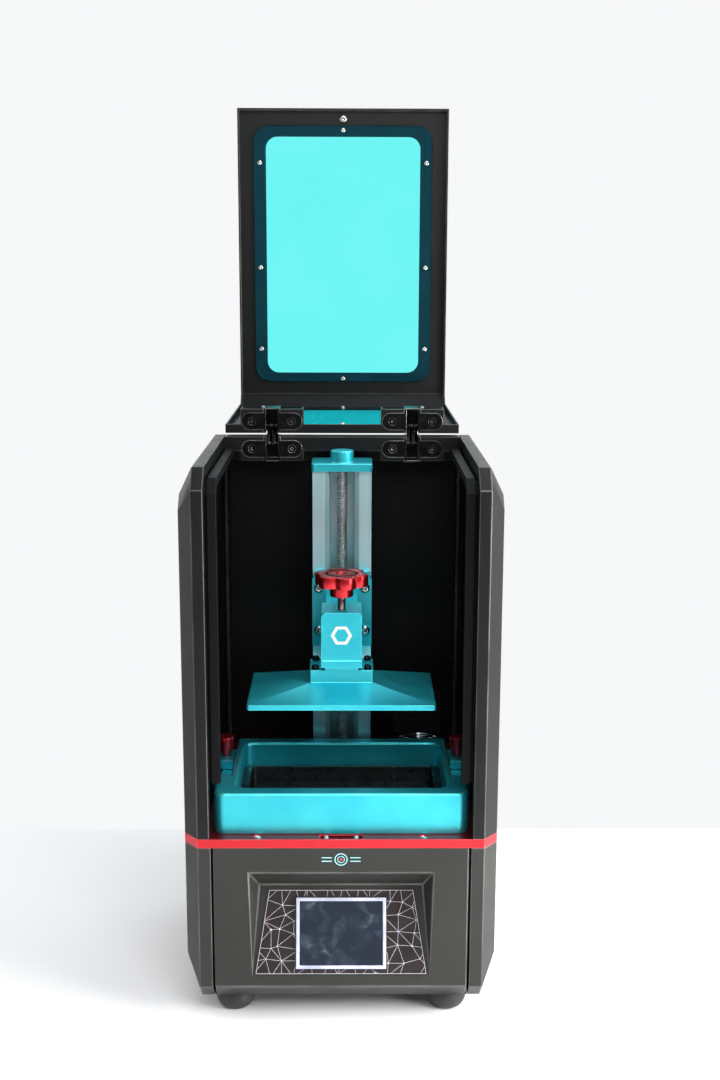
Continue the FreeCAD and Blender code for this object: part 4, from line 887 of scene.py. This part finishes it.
def knob_stud(steel):
    """Steel stud under the knob's collar, grooved like a thread where it is in view."""
    rings = [circle(STUD_RADIUS - 0.6, STUD_LOW), circle(STUD_RADIUS, STUD_LOW + 0.6)]
    level = STUD_LOW + 1.0
    while level < COLLAR_LOW - 1.0:
        rings += [circle(STUD_RADIUS, level), circle(STUD_RADIUS - 0.35, level + 0.5)]
        level += 1.0
    rings.append(circle(STUD_RADIUS - 0.2, COLLAR_LOW + 0.4))
    shape = bmesh.new()
    lathe_rings(shape, rings, knob_matrix())
    add_piece("knob_stud", shape, steel, "knob")


def filter_foam(finish):
    """Foam pad behind the outlet slots."""
    x0, x1, z0, z1 = SLOTS
    near, far, lap, round_off = SLOTS_FACE - 2.4, SLOTS_FACE - 0.1, 2.0, 0.6
    rings = []
    for inset, y in ((round_off, near), (0.0, near + round_off), (0.0, far)):
        outline = rectangle(x0 - lap + inset, x1 + lap - inset, z0 - lap + inset, z1 + lap - inset)
        rings.append([(x, y, z) for x, z in outline])
    shape = bmesh.new()
    lathe_rings(shape, rings, Matrix.Scale(MM, 4))
    add_piece("filter_foam", shape, finish, "base", smooth=False)


def upright_strips(name, x_range, y_range, z_range, finish):
    """A pair of mirrored upright strips with softened edges, in mm, that ride on the base."""
    soft = 0.3
    (x0, x1), (y0, y1), (z0, z1) = x_range, y_range, z_range
    shape = bmesh.new()
    for side in (-1, 1):
        rings = []
        for inset, level in ((soft, z0), (0.0, z0 + soft), (0.0, z1 - soft), (soft, z1)):
            outline = rectangle(x0 + inset, x1 - inset, y0 + inset, y1)
            rings.append([(side * x, y, level) for x, y in outline])
        lathe_rings(shape, rings, Matrix.Scale(MM, 4))
    add_piece(name, shape, finish, "base", smooth=False)


def light_seals(finish):
    """Black strips that close the narrow joints beside the rear wall and the lower front panel."""
    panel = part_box("front_panel")[0].y / MM
    behind_wall = (SLOTS_FACE - 1.8, SLOTS_FACE - 0.1)
    behind_panel = (panel + 2.4, panel + 3.6)
    upright_strips("corner_seals", (90.2, 91.9), behind_wall, (DECK_TOP + 2.0, 373.0), finish)
    upright_strips("seam_strips", (86.0, 93.0), behind_panel, (32.0, 132.5), finish)


def mask_tape(finish):
    """Dark tape that frames the mask screen on the deck."""
    outer, inner, slope, top = (73.5, 43.8), (60.5, 35.5), 0.1, DECK_TOP + 0.12
    rings = []
    for (half_x, half_y), grow, level in ((outer, 0, DECK_TOP), (outer, -slope, top),
                                          (inner, slope, top), (inner, 0, DECK_TOP)):
        outline = rectangle(-half_x - grow, half_x + grow, -half_y - grow, half_y + grow)
        rings.append([(x, MASK_MIDDLE_Y + y, level) for x, y in outline])
    shape = bmesh.new()
    loop_rings(shape, rings, Matrix.Scale(MM, 4))
    add_piece("mask_tape", shape, finish, "base", smooth=False)


def rounded_outline(x0, x1, z0, z1, radius, y, per_corner=10):
    """Upright rectangle with rounded corners, as points at one depth."""
    points = []
    middles = ((x1 - radius, z1 - radius), (x0 + radius, z1 - radius),
               (x0 + radius, z0 + radius), (x1 - radius, z0 + radius))
    for quarter, (x, z) in enumerate(middles):
        for i in range(per_corner + 1):
            angle = math.pi / 2 * (quarter + i / per_corner)
            points.append((x + radius * math.cos(angle), y, z + radius * math.sin(angle)))
    return points


def window_gasket(finish):
    """Navy gasket between the lid's window and its frame, seen through the tinted sheet."""
    low, high = [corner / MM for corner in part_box("front_window")]
    back = high.y - 0.01
    front = back - 0.12
    rim, side, foot, head = 0.3, 10.6, 8.1, 9.1     # the gasket's edges, inwards from the sheet's
    outer = (low.x + rim, high.x - rim, low.z + rim, high.z - rim, 13.2)
    inner = (low.x + side, high.x - side, low.z + foot, high.z - head, 10.0)
    shape = bmesh.new()
    loop_rings(shape, [rounded_outline(*outline, y) for outline, y in
                       ((outer, back), (outer, front), (inner, front), (inner, back))],
               Matrix.Scale(MM, 4))
    add_piece("window_gasket", shape, finish, "lid", smooth=False)


# ---------------------------------------------------------------- stage
def look_matrix(place, pitch, yaw, roll):
    """Camera matrix from its place and its three small angles."""
    ahead = Vector((math.sin(yaw), math.cos(yaw), 0))
    forward = ahead * math.cos(pitch) - Vector((0, 0, math.sin(pitch)))
    level = Vector((math.cos(yaw), -math.sin(yaw), 0))
    above = level.cross(forward)
    right = level * math.cos(roll) + above * math.sin(roll)
    up = above * math.cos(roll) - level * math.sin(roll)
    matrix = Matrix((right, up, -forward)).transposed().to_4x4()
    matrix.translation = place
    return matrix


def make_camera():
    """Camera at the photograph's place."""
    camera = bpy.data.objects.new("camera", bpy.data.cameras.new("camera"))
    bpy.context.scene.collection.objects.link(camera)
    camera.data.lens = CAMERA_LENS
    camera.data.sensor_width = 36.0
    camera.data.clip_start = 0.01
    camera.matrix_world = look_matrix(CAMERA_PLACE, CAMERA_PITCH, CAMERA_YAW, CAMERA_ROLL)
    bpy.context.scene.camera = camera


def make_floor():
    """Pale table top whose rear edge lies a hand's width behind the printer."""
    near, rear, side, edge, thick = -1.05, 0.184, 2.4, 0.01, 0.04
    rings = [[(x, y, level) for x, y in rectangle(-side, side, near, back)]
             for level, back in ((-thick, rear), (-edge, rear), (0, rear - edge))]
    shape = bmesh.new()
    lathe_rings(shape, rings)
    bmesh.ops.recalc_face_normals(shape, faces=shape.faces)
    mesh = bpy.data.meshes.new("table_top")
    shape.to_mesh(mesh)
    shape.free()
    table = bpy.data.objects.new("table_top", mesh)
    bpy.context.scene.collection.objects.link(table)
    paint = Finish("pale table", (0.86, 0.86, 0.865), 0.45)
    paint.set("Base Color", paint.mix(paint.spread(paint.noise(300, 3), 0.3, 0.7),
                                      (0.85, 0.85, 0.855), (0.875, 0.875, 0.88)))
    paint.bump(paint.noise(2.5, 3), 0.02, 0.2)
    mesh.materials.append(paint.material)


def soft_light(name, place, aim, size, power, colour=(1, 1, 1)):
    """Large square lamp that points at a spot."""
    lamp = bpy.data.lights.new(name, "AREA")
    lamp.shape = "RECTANGLE"
    lamp.size, lamp.size_y = size
    lamp.energy = power
    lamp.color = colour
    thing = bpy.data.objects.new(name, lamp)
    bpy.context.scene.collection.objects.link(thing)
    thing.location = place
    thing.rotation_mode = "QUATERNION"
    thing.rotation_quaternion = (Vector(aim) - Vector(place)).to_track_quat("-Z", "Y")
    thing.visible_camera = False
    thing.visible_transmission = False


def make_light():
    """Pale backdrop that lights the printer most from behind, and soft lamps around it.

    Seen straight or through a clear sheet, the backdrop has the same strength everywhere.
    """
    world = bpy.data.worlds.new("studio")
    bpy.context.scene.world = world
    world.use_nodes = True
    nodes, links = world.node_tree.nodes, world.node_tree.links
    background = nodes["Background"]
    direction = nodes.new("ShaderNodeTexCoord")
    split = nodes.new("ShaderNodeSeparateXYZ")
    fade = nodes.new("ShaderNodeMapRange")
    fade.interpolation_type = "SMOOTHSTEP"
    for socket, number in zip(RANGE_SOCKETS, (-0.25, 0.4, 0.2, 1.35)):
        fade.inputs[socket].default_value = number
    links.new(direction.outputs["Generated"], split.inputs["Vector"])
    links.new(split.outputs["Y"], fade.inputs["Value"])
    path = nodes.new("ShaderNodeLightPath")
    seen = nodes.new("ShaderNodeMath")
    seen.operation = "MAXIMUM"
    links.new(path.outputs["Is Camera Ray"], seen.inputs[0])
    links.new(path.outputs["Is Transmission Ray"], seen.inputs[1])
    strength = nodes.new("ShaderNodeMix")
    links.new(seen.outputs["Value"], strength.inputs["Factor"])
    links.new(fade.outputs["Result"], strength.inputs["A"])
    strength.inputs["B"].default_value = 1.0
    links.new(strength.outputs["Result"], background.inputs["Strength"])
    background.inputs["Color"].default_value = (0.925, 0.935, 0.945, 1)
    soft_light("top", (0.45, -0.35, 1.3), (0.15, -0.35, 0), (1.1, 1.0), 6, (0.86, 0.94, 1.0))
    soft_light("front", (0.2, -1.2, 1.25), (0, -0.1, 0.2), (0.8, 0.7), 11)
    soft_light("window", (1.3, -0.5, 0.6), (0, -0.1, 0.25), (0.8, 0.8), 8)
    soft_light("table glow", (0.72, -0.45, 0.35), (0.05, -0.4, 0), (0.5, 0.5), 13)
    soft_light("left", (-1.3, -0.3, 0.7), (0, 0, 0.25), (0.8, 1.0), 3)
    view = bpy.context.scene.view_settings
    view.view_transform = "Standard"
    view.look = "None"
    view.exposure = 0.0


finishes = make_finishes()
edges = make_edges()
dress_nodes(finishes, make_node_finishes(finishes, edges), edges)
white_ink = printed("white ink", (0.66, 0.62, 0.68), (0.52, 0.49, 0.55))
cyan_ink = printed("pale cyan ink", (0.35, 0.72, 0.74), (0.30, 0.64, 0.66))
red_ink = printed("red ink", (0.45, 0.05, 0.05), (0.38, 0.04, 0.04))
make_screws(finishes["steel"], finishes["black_steel"])
threaded_rod(plain_metal("screw steel", (0.74, 0.76, 0.76), 0.36, size=8))
guard_wires(finishes["chrome_wire"])
foil_sheet(finishes["overlay_foil"])
network_print(white_ink)
panel_symbol(cyan_ink, red_ink)
bracket_symbol(printed("off-white ink", (0.78, 0.77, 0.72), (0.7, 0.69, 0.64)))
rocker_marks(white_ink)
star_knob(finishes["red_anodised"])
knob_stud(finishes["steel"])
filter_foam(foam("black foam", (0.012, 0.012, 0.013)))
light_seals(foam("black seal", (0.004, 0.004, 0.005)))
mask_tape(moulded("dark tape", (0.004, 0.014, 0.02), 0.4))
window_gasket(moulded("navy gasket", (0.004, 0.012, 0.035), 0.4))
make_camera()
make_floor()
make_light()
